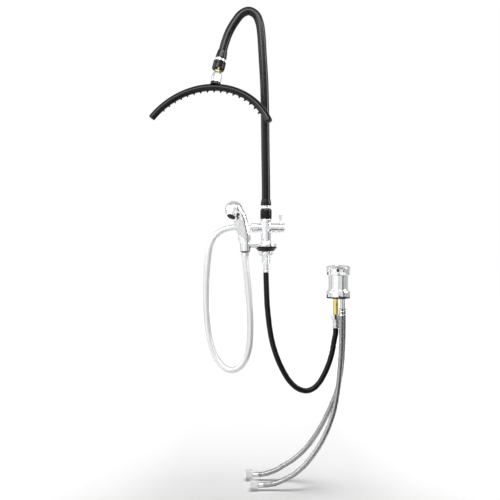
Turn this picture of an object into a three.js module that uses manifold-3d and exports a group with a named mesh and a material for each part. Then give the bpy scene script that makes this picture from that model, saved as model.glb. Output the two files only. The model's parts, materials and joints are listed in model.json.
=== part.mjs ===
// Salon rinse set: a deck diverter column with a flexible gooseneck and an arched spray bar,
// a hand shower in a side holder, and a separate single-lever mixer with its hoses.
// Millimetres, +Z up, +X to the right, -Y to the front. The origin is the centre of the
// column's deck hole, on the underside of its cone gasket.

import * as THREE from "three";
import { mergeVertices } from "three/addons/utils/BufferGeometryUtils.js";
import Module from "manifold-3d";

const wasm = await Module();
wasm.setup();

// ---------------------------------------------------------------- driving dimensions

const GAP = 0.3;                 // clearance left between touching pieces
const PIPE_THREAD_R = 10.5;      // half of a G1/2 thread's outer diameter
const WATERWAY_R = 6;            // bore through the column
const ROUND = 16;                // facets round a turned piece
const SMALL_ROUND = 10;          // facets round a slim piece

// column
const FLANGE_TOP = 17.3;
const FLANGE_BOTTOM = 13.5;
const FLANGE_R = 24.2;
const GASKET_TOP = 10.6;
const GASKET_RIM_R = 24.7;
const GASKET_FOOT_R = 18;
const BODY_R = 11.5;
const COLLAR_R = 12.2;
const CROSS_Z = 53.6;            // axis of the horizontal cross tube
const CROSS_R = 10.9;
const CROSS_LEFT = -17;
const CROSS_RIGHT = 28;
const COLUMN_TOP = 74;
const LOCK_NUT_TOP = -2.6;
const LOCK_NUT_BOTTOM = -9.9;
const SHANK_BOTTOM = -29.9;

// diverter
const KNOB_END = 43.2;
const LEVER_X = 33.1;
const LEVER_TOP = 86.7;

// gooseneck
const FERRULE_TOP = 97.5;
const RING_TOP = 104.9;
const CUFF_TOP = 119.4;
const GOOSE_R = 9.8;
const GOOSE_CORE_R = 6;
const GOOSE_END_LEAN = 14.3;     // lean of the gooseneck's far end, degrees
const BALL_CENTRE = new THREE.Vector3(-109.5, 0, 421.3);
const BALL_R = 9;

// spray arc, in the frame of the ball: -Z is the stem, +X runs along the arc to the right
const ARC_LEAN = 9.3;            // stem leans to the left going down, degrees
const ARC_NOD = 14;              // and towards the front, degrees
const ARC_YAW = 16;              // the right end is turned to the front, degrees
const ARC_DROP = 49;             // ball centre to the tube's centreline
const ARC_R = 164.5;
const ARC_HALF = 58.6;           // half of the tube's angle, degrees
const ARC_TUBE_R = 8;
const ARC_BORE_R = 6.2;
const NOZZLE_COUNT = 17;
const NOZZLE_STEP = 6;           // degrees

// hand shower and its holder
const CUP_X = -47.6;
const CUP_Y = -28;
const CUP_TOP = 19;
const CUP_BOTTOM = 0.3;
const CUP_R = 12;
const SPIGOT_R = 8.6;
const HEAD_CENTRE = new THREE.Vector3(-73, -36, 93.4);
const HEAD_R = 20;
const SPRAY_DIRECTION = new THREE.Vector3(-0.28, -0.5, -0.82).normalize();
const GRIP_RINGS = [             // level rings up the grip: x, y, z, half width, half depth
  [CUP_X, CUP_Y, CUP_TOP + GAP, 12, 12], [-48.8, -28, 25.5, 13.8, 12.6], [-50, -28.4, 34.5, 14.7, 13],
  [-51.4, -29, 43.5, 14.9, 13.1], [-53.4, -29.6, 52.6, 15.5, 13.2], [-56.4, -30.6, 61.6, 16.2, 13.5],
  [-59.3, -32, 70.6, 16.8, 14], [-62.2, -33.6, 79.6, 17.2, 14.6], [-66, -35, 88.6, 17.2, 15.2],
  [-69.5, -35.6, 94, 16.2, 15.2],
];
const PANEL_OUTLINE = [          // the soft panel seen from the front, x and z
  [-80, 68], [-54, 68], [-50.4, 60], [-47.4, 51], [-45, 40], [-43.9, 32], [-44.4, 26.6], [-48.6, 26],
  [-56, 31.5], [-64, 38], [-80, 44],
];
const PANEL_MIDDLE = new THREE.Vector2(-58, 46);
const PANEL_DEPTH = 1.6;

// mixer
const MIXER_X = 166.3;
const SKIRT_BOTTOM = -55.2;
const CAP_R = 27.2;
const SKIRT_R = 25.7;            // the cap draws in towards its lower rim
const WAIST_R = 22.6;
const MIXER_BASE = -104.6;
const MIXER_GASKET_BOTTOM = -107.9;
const TILT_Z = -52;              // height of the handle's tilting axis
const HANDLE_TURN = -9;          // resting turn of the lever from straight ahead, degrees
const PIPE = new THREE.Vector2(161.5, 9);
const TAIL_FRONT = new THREE.Vector2(172.5, -10);
const TAIL_BACK = new THREE.Vector2(178.5, 2);

// hoses
const HAND_HOSE_R = 7;
const LINK_HOSE_R = 6.3;
const SUPPLY_HOSE_R = 5.6;
const SUPPLY_NUT_R = 12.7;
const SUPPLY_NUT_LENGTH = 17;

// ---------------------------------------------------------------- materials

function finish(color, roughness, metalness) {
  return new THREE.MeshStandardMaterial({ color, roughness, metalness });
}

const chrome = () => finish(0xe6e9ec, 0.08, 1);
const brass = () => finish(0xd9b354, 0.25, 1);
const steel = () => finish(0xb8bbbd, 0.3, 1);
const blackRubber = () => finish(0x1b1b1c, 0.55, 0);
const blackPlastic = () => finish(0x161617, 0.35, 0);
const greyPlastic = () => finish(0xb4b6b8, 0.45, 0);
const whitePlastic = () => finish(0xe4e4e2, 0.4, 0);
const silverHose = () => finish(0xd5d7da, 0.3, 0.4);
const braid = () => finish(0x9b9d9e, 0.35, 0.8);

// ---------------------------------------------------------------- shape helpers

const rad = THREE.MathUtils.degToRad;

// Keeps positions only, joins shared corners and turns the faces outwards.
function closed(geometry) {
  const bare = new THREE.BufferGeometry();
  bare.setAttribute("position", geometry.getAttribute("position").clone());
  if (geometry.index) {
    bare.setIndex(geometry.index.clone());
  }
  const merged = mergeVertices(bare, 1e-4);
  const p = merged.getAttribute("position");
  const index = Array.from(merged.index.array);
  const kept = [];
  let volume = 0;
  for (let i = 0; i < index.length; i += 3) {
    const [a, b, c] = index.slice(i, i + 3);
    if (a === b || b === c || c === a) {
      continue;
    }
    kept.push(a, b, c);
    const va = new THREE.Vector3().fromBufferAttribute(p, a);
    const vb = new THREE.Vector3().fromBufferAttribute(p, b);
    const vc = new THREE.Vector3().fromBufferAttribute(p, c);
    volume += va.dot(vb.cross(vc));
  }
  if (volume < 0) {
    kept.reverse();
  }
  merged.setIndex(kept);
  return merged;
}

function toSolid(geometry) {
  const g = closed(geometry);
  const vertProperties = new Float32Array(g.getAttribute("position").array);
  const triVerts = new Uint32Array(g.index.array);
  return new wasm.Manifold(new wasm.Mesh({ numProp: 3, vertProperties, triVerts }));
}

function toGeometry(solid) {
  const result = solid.getMesh();
  const g = new THREE.BufferGeometry();
  g.setAttribute("position", new THREE.BufferAttribute(new Float32Array(result.vertProperties), 3));
  g.setIndex(Array.from(result.triVerts));
  return g;
}

function cut(geometry, ...tools) {
  let solid = toSolid(geometry);
  for (const tool of tools) {
    solid = solid.subtract(toSolid(tool));
  }
  return toGeometry(solid);
}

function join(first, ...others) {
  let solid = toSolid(first);
  for (const other of others) {
    solid = solid.add(toSolid(other));
  }
  return toGeometry(solid);
}

function common(first, second) {
  return toGeometry(toSolid(first).intersect(toSolid(second)));
}

// Turned piece about +Z from a profile of [radius, height] pairs.
function turned(profile, segments = ROUND) {
  const points = profile.map(([r, z]) => new THREE.Vector2(r, z));
  return new THREE.LatheGeometry(points, segments).rotateX(Math.PI / 2);
}

// Turned piece with a straight bore: the outer profile runs from bottom to top.
function sleeve(bore, outer, segments = ROUND) {
  const bottom = outer[0][1];
  const top = outer[outer.length - 1][1];
  return turned([[bore, bottom], ...outer, [bore, top], [bore, bottom]], segments);
}

function rod(radius, z0, z1, segments = ROUND) {
  return turned([[0, z0], [radius, z0], [radius, z1], [0, z1]], segments);
}

function alongX(geometry) {
  return geometry.rotateY(Math.PI / 2);
}

// Regular polygon with its corners on the radius, as a shape or as a hole in one.
function polygon(radius, sides, path) {
  for (let i = 0; i < sides; i += 1) {
    const a = (2 * Math.PI * i) / sides;
    path[i ? "lineTo" : "moveTo"](radius * Math.cos(a), radius * Math.sin(a));
  }
  path.closePath();
  return path;
}

function ringOutline(radius, bore, sides) {
  const outline = polygon(radius, sides, new THREE.Shape());
  if (bore > 0) {
    outline.holes.push(polygon(bore, sides, new THREE.Path()));
  }
  return outline;
}

// Hexagonal prism about Z, across-corner radius r, with a bore whose flats clear the bore radius.
function hexNut(r, bore, z0, z1) {
  const boreSides = 12;
  const outline = polygon(r, 6, new THREE.Shape());
  outline.holes.push(polygon(bore / Math.cos(Math.PI / boreSides), boreSides, new THREE.Path()));
  const g = new THREE.ExtrudeGeometry(outline, { depth: z1 - z0, bevelEnabled: false });
  return g.translate(0, 0, z0);
}

function sweep(outline, curve, steps) {
  return new THREE.ExtrudeGeometry(outline, { steps, extrudePath: curve, bevelEnabled: false });
}

function route(points) {
  return new THREE.CatmullRomCurve3(points.map((p) => new THREE.Vector3(...p)), false, "centripetal");
}

// ---------------------------------------------------------------- the group

const group = new THREE.Group();
group.name = "rinse_set";

function piece(parent, name, geometry, material) {
  const mesh = new THREE.Mesh(closed(geometry), material);
  mesh.name = name;
  parent.add(mesh);
  return mesh;
}

// ---------------------------------------------------------------- column

function columnBody() {
  const fillet = 1.5;
  const outside = turned([
    [0, FLANGE_BOTTOM], [FLANGE_R - 0.6, FLANGE_BOTTOM], [FLANGE_R, FLANGE_BOTTOM + 0.8],
    [FLANGE_R - 0.8, FLANGE_TOP - 0.6], [BODY_R + fillet + 1, FLANGE_TOP],
    [BODY_R, FLANGE_TOP + fillet], [BODY_R, 65], [COLLAR_R, 65.6], [COLLAR_R, COLUMN_TOP - 0.6],
    [COLLAR_R - 0.6, COLUMN_TOP], [0, COLUMN_TOP],
  ], 20);
  const cross = alongX(rod(CROSS_R, CROSS_LEFT, CROSS_RIGHT)).translate(0, 0, CROSS_Z);
  const nipple = alongX(rod(8, -30, CROSS_LEFT + 1, SMALL_ROUND)).translate(0, 0, CROSS_Z);
  const shankSocket = rod(9.3, FLANGE_BOTTOM - 1, 24);
  const waterway = rod(WATERWAY_R, 20, COLUMN_TOP + 1);
  const cartridgeBore = alongX(rod(7.6, 0, CROSS_RIGHT + 1)).translate(0, 0, CROSS_Z);
  const outletBore = alongX(rod(5, -31, 2, SMALL_ROUND)).translate(0, 0, CROSS_Z);
  return cut(join(outside, cross, nipple), shankSocket, waterway, cartridgeBore, outletBore);
}

function makeColumn() {
  piece(group, "column_body", columnBody(), chrome());

  const gasket = sleeve(PIPE_THREAD_R + GAP, [
    [GASKET_FOOT_R, 0], [GASKET_RIM_R, 7.4], [GASKET_RIM_R, GASKET_TOP],
  ], 20);
  piece(group, "cone_gasket", gasket, blackRubber());

  const nutFlange = sleeve(PIPE_THREAD_R + GAP, [
    [15.6, LOCK_NUT_TOP - 3.4], [16.3, LOCK_NUT_TOP - 2.6], [16.3, LOCK_NUT_TOP],
  ]);
  const nutHex = hexNut(15, PIPE_THREAD_R + GAP, LOCK_NUT_BOTTOM, LOCK_NUT_TOP - 3);
  piece(group, "lock_nut", join(nutFlange, nutHex), chrome());

  const shank = sleeve(WATERWAY_R, [
    [PIPE_THREAD_R - 0.8, SHANK_BOTTOM], [PIPE_THREAD_R, SHANK_BOTTOM + 0.8],
    [PIPE_THREAD_R, FLANGE_BOTTOM - GAP], [9, FLANGE_BOTTOM - GAP], [9, 23.6],
  ]);
  piece(group, "threaded_shank", shank, chrome());

  const connector = sleeve(3.5, [
    [6.2, -48.6], [6.8, -48], [6.8, SHANK_BOTTOM - GAP], [WATERWAY_R - GAP, SHANK_BOTTOM - GAP],
    [WATERWAY_R - GAP, -16],
  ], SMALL_ROUND);
  piece(group, "link_top_connector", connector, chrome());
}

function makeDiverter() {
  const cartridge = alongX(sleeve(3.4, [[7.3, 6.6], [7.3, CROSS_RIGHT - 0.4]], SMALL_ROUND));
  piece(group, "diverter_cartridge", cartridge.translate(0, 0, CROSS_Z), brass());

  const spindle = alongX(rod(3, 8, 38, 12)).translate(0, 0, CROSS_Z);
  piece(group, "diverter_spindle", spindle, steel());

  const knobSkin = alongX(turned([
    [0, CROSS_RIGHT + 0.4], [CROSS_R, CROSS_RIGHT + 0.4], [CROSS_R, KNOB_END - 1.6],
    [CROSS_R - 1.6, KNOB_END - 0.3], [CROSS_R - 4, KNOB_END], [0, KNOB_END],
  ])).translate(0, 0, CROSS_Z);
  const spindleHole = alongX(rod(3.4, CROSS_RIGHT - 1, 38.6, 12)).translate(0, 0, CROSS_Z);
  const leverHole = rod(2.5, CROSS_Z + 5.6, CROSS_Z + CROSS_R + 1, 12).translate(LEVER_X, 0, 0);
  piece(group, "diverter_knob", cut(knobSkin, spindleHole, leverHole), chrome());

  const base = CROSS_Z + CROSS_R + GAP;
  const lever = turned([
    [0, CROSS_Z + 6], [2.1, CROSS_Z + 6], [2.1, base], [2.7, base], [2.5, base + 4],
    [2.7, LEVER_TOP - 6], [3.3, LEVER_TOP - 2.5], [2.6, LEVER_TOP - 0.5], [0, LEVER_TOP],
  ], SMALL_ROUND);
  piece(group, "diverter_lever", lever.translate(LEVER_X, 0, 0), chrome());
}

function makeHandOutlet() {
  const washer = alongX(sleeve(4.6, [[7.6, -32.2], [7.6, -30.3]], SMALL_ROUND));
  piece(group, "outlet_washer", washer.translate(0, 0, CROSS_Z), blackRubber());

  const nutBlank = alongX(turned([
    [0, -35], [9.4, -35], [11, -33.6], [11, -19], [10.2, -17.4], [0, -17.4],
  ])).translate(0, 0, CROSS_Z);
  const thread = alongX(rod(8.3, -32.6, -16, SMALL_ROUND)).translate(0, 0, CROSS_Z);
  const hoseTail = alongX(rod(5, -36, -30, SMALL_ROUND)).translate(0, 0, CROSS_Z);
  piece(group, "outlet_nut", cut(nutBlank, thread, hoseTail), chrome());
}

// ---------------------------------------------------------------- gooseneck

const GOOSE_TOP_AXIS = new THREE.Vector3(Math.sin(rad(GOOSE_END_LEAN)), 0, Math.cos(rad(GOOSE_END_LEAN)));
const GOOSE_END = BALL_CENTRE.clone().addScaledVector(GOOSE_TOP_AXIS, 25.9);

const GOOSE_ROUTE = route([
  [0, 0, RING_TOP + 2.4], [0, 0, 142], [-1.2, 0, 232], [-2.5, 0, 330], [-4.1, 0, 387],
  [-7.4, 0, 445], [-11, 0, 501], [-14.5, 0, 524], [-23, 0, 543.5], [-38.6, 0, 552.6],
  [-55.5, 0, 546.5], [-71, 0, 528], [-84.5, 0, 505], [-93, 0, 483],
  [GOOSE_END.x + 3.1, 0, GOOSE_END.z + 12.2], [GOOSE_END.x, 0, GOOSE_END.z],
]);

function makeGooseneck() {
  const ferrule = sleeve(3.5, [
    [WATERWAY_R - GAP, 50], [WATERWAY_R - GAP, COLUMN_TOP + GAP], [12.5, COLUMN_TOP + GAP],
    [13.1, COLUMN_TOP + 2], [13.1, FERRULE_TOP - 3], [11.6, FERRULE_TOP], [6, FERRULE_TOP],
    [6, RING_TOP],
  ]);
  piece(group, "swivel_ferrule", ferrule, blackPlastic());

  const ring = sleeve(6.3, [[9.4, FERRULE_TOP + GAP], [9.8, FERRULE_TOP + 1], [9.8, RING_TOP]]);
  piece(group, "swivel_ring", ring, chrome());

  const cuffBottom = RING_TOP + GAP;
  const lowerCuff = turned([
    [3.5, cuffBottom], [11, cuffBottom], [11.6, cuffBottom + 4], [12.1, CUFF_TOP - 1],
    [11.6, CUFF_TOP], [GOOSE_R + GAP, CUFF_TOP], [GOOSE_R + GAP, cuffBottom + 1.8],
    [3.5, cuffBottom + 1.8], [3.5, cuffBottom],
  ]);
  piece(group, "lower_cuff", lowerCuff, blackRubber());

  piece(group, "gooseneck_hose", sweep(ringOutline(GOOSE_R, GOOSE_CORE_R + 0.4, 10), GOOSE_ROUTE, 30),
    blackRubber());
  piece(group, "gooseneck_core", sweep(ringOutline(GOOSE_CORE_R - 0.4, 0, 8), GOOSE_ROUTE, 30), steel());

  const end = new THREE.Group();
  end.position.copy(BALL_CENTRE);
  end.rotation.y = rad(GOOSE_END_LEAN);
  group.add(end);

  const upperCuff = turned([
    [4, 23.3], [12.9, 23.3], [12.9, 25.5], [11.5, 40], [GOOSE_R + 0.5, 41.5],
    [GOOSE_R + 0.5, 25.5], [4, 25.5], [4, 23.3],
  ]);
  piece(end, "upper_cuff", upperCuff, blackRubber());
  piece(end, "upper_ring", sleeve(4, [[10.6, 17.3], [10.6, 23]]), chrome());

  const cavityR = BALL_R + 0.6;
  const wallAngles = [0.52, 0.25, 0, -0.3, -0.6, -0.85];
  const wall = wallAngles.map((a) => [cavityR * Math.cos(a), -cavityR * Math.sin(a)]);
  const socket = turned([
    [6, 17], [6, 7.5], ...wall.reverse(), [8.33, -6.4], [11.6, -6.4], [14.6, -3.4],
    [14.6, 14.5], [12.6, 17], [6, 17],
  ]);
  piece(end, "ball_socket", socket, blackPlastic());
  piece(end, "ball_seal", sleeve(3.2, [[5.6, 9.8], [5.6, 12.4]], SMALL_ROUND), blackRubber());
}

// ---------------------------------------------------------------- spray arc

// The arc's own frame: origin at the ball, Z up the stem, X along the arc.
function arcFrame() {
  const frame = new THREE.Group();
  const down = new THREE.Vector3(-Math.tan(rad(ARC_LEAN)), -Math.tan(rad(ARC_NOD)), -1).normalize();
  const right = new THREE.Vector3(Math.cos(rad(ARC_YAW)), -Math.sin(rad(ARC_YAW)), 0);
  right.addScaledVector(down, -right.dot(down)).normalize();
  const up = down.clone().negate();
  const back = new THREE.Vector3().crossVectors(up, right);
  frame.quaternion.setFromRotationMatrix(new THREE.Matrix4().makeBasis(right, back, up));
  frame.position.copy(BALL_CENTRE);
  group.add(frame);
  return frame;
}

class ArcCurve extends THREE.Curve {
  constructor(halfAngle) {
    super();
    this.half = rad(halfAngle);
  }

  getPoint(t, target = new THREE.Vector3()) {
    const a = this.half * (2 * t - 1);
    return target.set(ARC_R * Math.sin(a), 0, ARC_R * (Math.cos(a) - 1) - ARC_DROP);
  }
}

// Ring with a slot towards the centre of the arc, where the nozzles come out.
function slottedRing() {
  const slot = 2.1;
  const outline = new THREE.Shape();
  const outer = Math.asin(slot / ARC_TUBE_R);
  const inner = Math.asin(slot / ARC_BORE_R);
  const sides = 12;
  const bends = 8;
  const quarter = Math.PI / 2;
  for (let i = 0; i <= sides; i += 1) {
    const a = quarter + outer + ((2 * Math.PI - 2 * outer) * i) / sides;
    outline[i ? "lineTo" : "moveTo"](ARC_TUBE_R * Math.cos(a), ARC_TUBE_R * Math.sin(a));
  }
  for (let i = 0; i <= bends; i += 1) {
    const a = quarter - inner - ((2 * Math.PI - 2 * inner) * i) / bends;
    outline.lineTo(ARC_BORE_R * Math.cos(a), ARC_BORE_R * Math.sin(a));
  }
  outline.closePath();
  return outline;
}

// Silicone strip inside the tube, with a rib in the slot.
function stripOutline() {
  const outline = new THREE.Shape();
  const corners = [[-3.3, 3.4], [3.3, 3.4], [3.3, 4.6], [1.7, 4.6], [1.7, 7.9], [-1.7, 7.9], [-1.7, 4.6],
    [-3.3, 4.6]];
  corners.forEach(([x, y], i) => outline[i ? "lineTo" : "moveTo"](x, y));
  outline.closePath();
  return outline;
}

function nozzle(angle) {
  const tip = turned([
    [0, -12.6], [1.2, -12.6], [3.2, -8.4], [1.5, -8.4], [1.5, -6], [0, -6],
  ], 6);
  tip.translate(0, 0, ARC_R).rotateY(angle).translate(0, 0, -ARC_R - ARC_DROP);
  return tip;
}

function makeArc() {
  const frame = arcFrame();

  const ballArc = [];
  const ballTop = 1.27;
  const ballBottom = -0.95;
  for (let i = 0; i <= 6; i += 1) {
    const a = ballTop + (i * (ballBottom - ballTop)) / 6;
    ballArc.push([BALL_R * Math.cos(a), BALL_R * Math.sin(a)]);
  }
  const stem = turned([
    [2.5, ballArc[0][1]], ...ballArc, [4.6, -9], [4.6, -38], [2.5, -38], [2.5, ballArc[0][1]],
  ]);
  piece(frame, "ball_stem", stem, brass());

  const bell = turned([
    [5, -10.6], [6.4, -10.6], [8.9, -12.2], [10.9, -15], [11.7, -20], [12.2, -33], [12.2, -36.8],
    [11.6, -37.4], [5, -37.4], [5, -10.6],
  ]);
  piece(frame, "bell_connector", bell, chrome());

  const saddleBlank = sleeve(5, [[11.2, -44], [11.9, -42.5], [11.9, -37.7]]);
  const saddleCurve = new ArcCurve(8);
  piece(frame, "arc_saddle",
    cut(saddleBlank, sweep(ringOutline(ARC_TUBE_R + 0.35, 0, 20), saddleCurve, 6)), blackPlastic());

  const inlet = rod(4.9, -44.2, -38, SMALL_ROUND);
  piece(frame, "arc_tube", cut(sweep(slottedRing(), new ArcCurve(ARC_HALF), 26), inlet), blackPlastic());

  const nozzles = [];
  for (let i = 0; i < NOZZLE_COUNT; i += 1) {
    nozzles.push(nozzle(rad(NOZZLE_STEP * (i - (NOZZLE_COUNT - 1) / 2))));
  }
  const strip = sweep(stripOutline(), new ArcCurve(52), 26);
  piece(frame, "nozzle_strip", join(strip, ...nozzles), blackRubber());

  for (const [name, side] of [["arc_cap_left", -1], ["arc_cap_right", 1]]) {
    const cap = turned([
      [0, -5], [5, -5], [5, GAP], [7.9, GAP], [7.7, 2], [6.2, 3.2], [0, 3.6],
    ], SMALL_ROUND);
    const place = new THREE.Group();
    const angle = side * rad(ARC_HALF);
    place.position.set(ARC_R * Math.sin(angle), 0, ARC_R * (Math.cos(angle) - 1) - ARC_DROP);
    place.rotation.y = side * Math.PI / 2 + angle;
    frame.add(place);
    piece(place, name, cap, blackPlastic());
  }
}

// ---------------------------------------------------------------- hand shower

function makeHolder() {
  const plate = sleeve(PIPE_THREAD_R + GAP, [[24, GASKET_TOP + GAP], [24, FLANGE_BOTTOM - GAP]]);
  const reach = Math.hypot(CUP_X, CUP_Y);
  const turn = Math.atan2(CUP_Y, CUP_X);
  const tongue = new THREE.BoxGeometry(8, 9, FLANGE_BOTTOM - GASKET_TOP - 2 * GAP);
  tongue.translate(25, 0, (FLANGE_BOTTOM + GASKET_TOP) / 2).rotateZ(turn);
  const armStart = GASKET_RIM_R + 0.8;
  const armEnd = reach - CUP_R + 1.4;
  const arm = new THREE.BoxGeometry(armEnd - armStart, 9, 10.4);
  arm.translate((armStart + armEnd) / 2, 0, 12.9).rotateZ(turn);
  const cup = turned([
    [10.3, CUP_BOTTOM], [11.2, CUP_BOTTOM], [11.8, 5], [CUP_R, CUP_TOP - 1], [CUP_R - 0.6, CUP_TOP],
    [10.3, CUP_TOP], [10.3, CUP_BOTTOM],
  ]).translate(CUP_X, CUP_Y, 0);
  const bore = rod(10.3, CUP_BOTTOM - 1, CUP_TOP + 1).translate(CUP_X, CUP_Y, 0);
  piece(group, "shower_holder", cut(join(plate, tongue, arm, cup), bore), chrome());

  const liner = turned([
    [9, -1.2], [11.2, -1.2], [11.2, 0], [10, 0], [10, CUP_TOP - 0.4], [9, CUP_TOP - 0.4], [9, -1.2],
  ]).translate(CUP_X, CUP_Y, 0);
  piece(group, "holder_liner", liner, blackPlastic());
}

// Closed body through level elliptic rings, made thinner all round by the inset.
function loft(rings, inset, sides = 14) {
  const positions = [];
  const index = [];
  for (const [x, y, z, halfWidth, halfDepth] of rings) {
    for (let i = 0; i < sides; i += 1) {
      const a = (2 * Math.PI * i) / sides;
      positions.push(x + (halfWidth - inset) * Math.cos(a), y + (halfDepth - inset) * Math.sin(a), z);
    }
  }
  for (let k = 0; k + 1 < rings.length; k += 1) {
    for (let i = 0; i < sides; i += 1) {
      const a = k * sides + i;
      const b = k * sides + ((i + 1) % sides);
      index.push(a, b, b + sides, a, b + sides, a + sides);
    }
  }
  const top = (rings.length - 1) * sides;
  for (let i = 1; i + 1 < sides; i += 1) {
    index.push(0, i + 1, i, top, top + i, top + i + 1);
  }
  const g = new THREE.BufferGeometry();
  g.setAttribute("position", new THREE.BufferAttribute(new Float32Array(positions), 3));
  g.setIndex(index);
  return g;
}

// Front part of the grip that the soft panel covers, grown sideways by the margin.
function panelRegion(margin) {
  const outline = new THREE.Shape(PANEL_OUTLINE.map(([x, z]) => {
    const corner = new THREE.Vector2(x, z);
    const outwards = corner.clone().sub(PANEL_MIDDLE).normalize();
    return corner.addScaledVector(outwards, margin);
  }));
  const g = new THREE.ExtrudeGeometry(outline, { depth: 25, bevelEnabled: false });
  return g.rotateX(Math.PI / 2).translate(0, CUP_Y - 1 + margin, 0);
}

function makeHandShower() {
  const grip = loft(GRIP_RINGS, 0);
  const spigot = rod(SPIGOT_R, -1.2, 24).translate(CUP_X, CUP_Y, 0);
  const head = new THREE.SphereGeometry(HEAD_R, 16, 10).translate(...HEAD_CENTRE);
  const aim = new THREE.Quaternion().setFromUnitVectors(new THREE.Vector3(0, 0, 1), SPRAY_DIRECTION);
  const snout = turned([[0, 0], [15.6, 0], [13, 14], [11.6, 19.6], [0, 19.6]]);
  snout.applyQuaternion(aim).translate(...HEAD_CENTRE);
  const pocket = rod(9.2, 17, 21).applyQuaternion(aim).translate(...HEAD_CENTRE);
  const waterway = rod(5, 14, 18).applyQuaternion(aim).translate(...HEAD_CENTRE);

  const recess = cut(panelRegion(GAP), loft(GRIP_RINGS, PANEL_DEPTH + GAP));
  const panel = cut(common(grip, panelRegion(0)), loft(GRIP_RINGS, PANEL_DEPTH));
  const shell = cut(join(grip, spigot, head, snout), pocket, waterway, recess);
  piece(group, "shower_body", shell, chrome());
  piece(group, "grip_panel", panel, greyPlastic());

  const plate = turned([[0, 17.4], [8.8, 17.4], [8.8, 19.6], [7.4, 20.2], [0, 20.2]]);
  piece(group, "spray_face", plate.applyQuaternion(aim).translate(...HEAD_CENTRE), blackPlastic());

  const seal = sleeve(4.4, [[8.2, -2.7], [8.2, -1.5]], SMALL_ROUND);
  piece(group, "shower_seal", seal.translate(CUP_X, CUP_Y, 0), blackRubber());
  const nut = sleeve(4.8, [[7.4, -10.8], [8.5, -9.6], [8.5, -3.8], [7.8, -3]], SMALL_ROUND);
  piece(group, "shower_nut", nut.translate(CUP_X, CUP_Y, 0), chrome());

  const hose = route([
    [-35.3, 0, CROSS_Z], [-42, 0, CROSS_Z], [-56, 0, 54.4], [-74, 1, 55], [-90, 3, 52],
    [-104.7, 5, 45.8], [-117, 7, 35.5], [-126.5, 8, 20], [-132, 9, 0], [-135.2, 9, -28],
    [-138, 9, -69], [-138.5, 8, -104], [-137.6, 6, -140], [-132.9, 3, -186],
    [-127.6, 0, -211], [-116.4, -5, -241], [-100, -11, -261.5], [-80, -17, -270.5],
    [-59, -22, -262], [-44.5, -26, -240], [-37.8, -28, -212], [-36.1, -28, -180], [-36.6, -28, -139],
    [-40.3, -28, -92], [-44, -28, -50], [-47.2, CUP_Y, -24], [CUP_X, CUP_Y, -11.1],
  ]);
  piece(group, "hand_hose", sweep(ringOutline(HAND_HOSE_R, 0, 8), hose, 36), silverHose());
}

// ---------------------------------------------------------------- mixer

function at(geometry, spot) {
  return geometry.translate(spot.x, spot.y, 0);
}

function makeMixer() {
  const domeR = WAIST_R - 0.3;
  const body = turned([
    [0, MIXER_BASE], [27, MIXER_BASE], [27.3, MIXER_BASE + 1], [27.3, -92.6], [26.4, -91], [24, -90],
    [WAIST_R, -87.6], [WAIST_R, -58], [domeR, TILT_Z], [domeR - 0.5, TILT_Z + 4], [21.4, TILT_Z + 6],
    [0, TILT_Z + 6],
  ], 20).translate(MIXER_X, 0, 0);
  const chamber = rod(18, -86, TILT_Z + 7).translate(MIXER_X, 0, 0);
  const pipeHole = at(rod(6.3, MIXER_BASE - 1, -85, SMALL_ROUND), PIPE);
  const frontHole = at(rod(4.4, MIXER_BASE - 1, -85, 12), TAIL_FRONT);
  const backHole = at(rod(4.4, MIXER_BASE - 1, -85, 12), TAIL_BACK);
  piece(group, "mixer_body", cut(body, chamber, pipeHole, frontHole, backHole), chrome());

  const gasket = sleeve(20, [[27.4, MIXER_GASKET_BOTTOM], [27.4, MIXER_BASE - GAP]], 20);
  piece(group, "mixer_gasket", gasket.translate(MIXER_X, 0, 0), blackRubber());

  const cartridge = turned([
    [0, -85.6], [17.6, -85.6], [17.6, -66], [15, -65.6], [0, -65.6],
  ]).translate(MIXER_X, 0, 0);
  piece(group, "mixer_cartridge", cartridge, whitePlastic());

  const carrier = turned([
    [0, -65.2], [12, -65.2], [12, -55], [9, -55], [9, -60], [0, -60],
  ], SMALL_ROUND).translate(MIXER_X, 0, 0);
  piece(group, "cartridge_carrier", carrier, whitePlastic());

  const ring = sleeve(13, [[17.6, -65.2], [17.6, -50]]).translate(MIXER_X, 0, 0);
  piece(group, "retaining_ring", ring, brass());

  makeMixerHandle();
}

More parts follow.
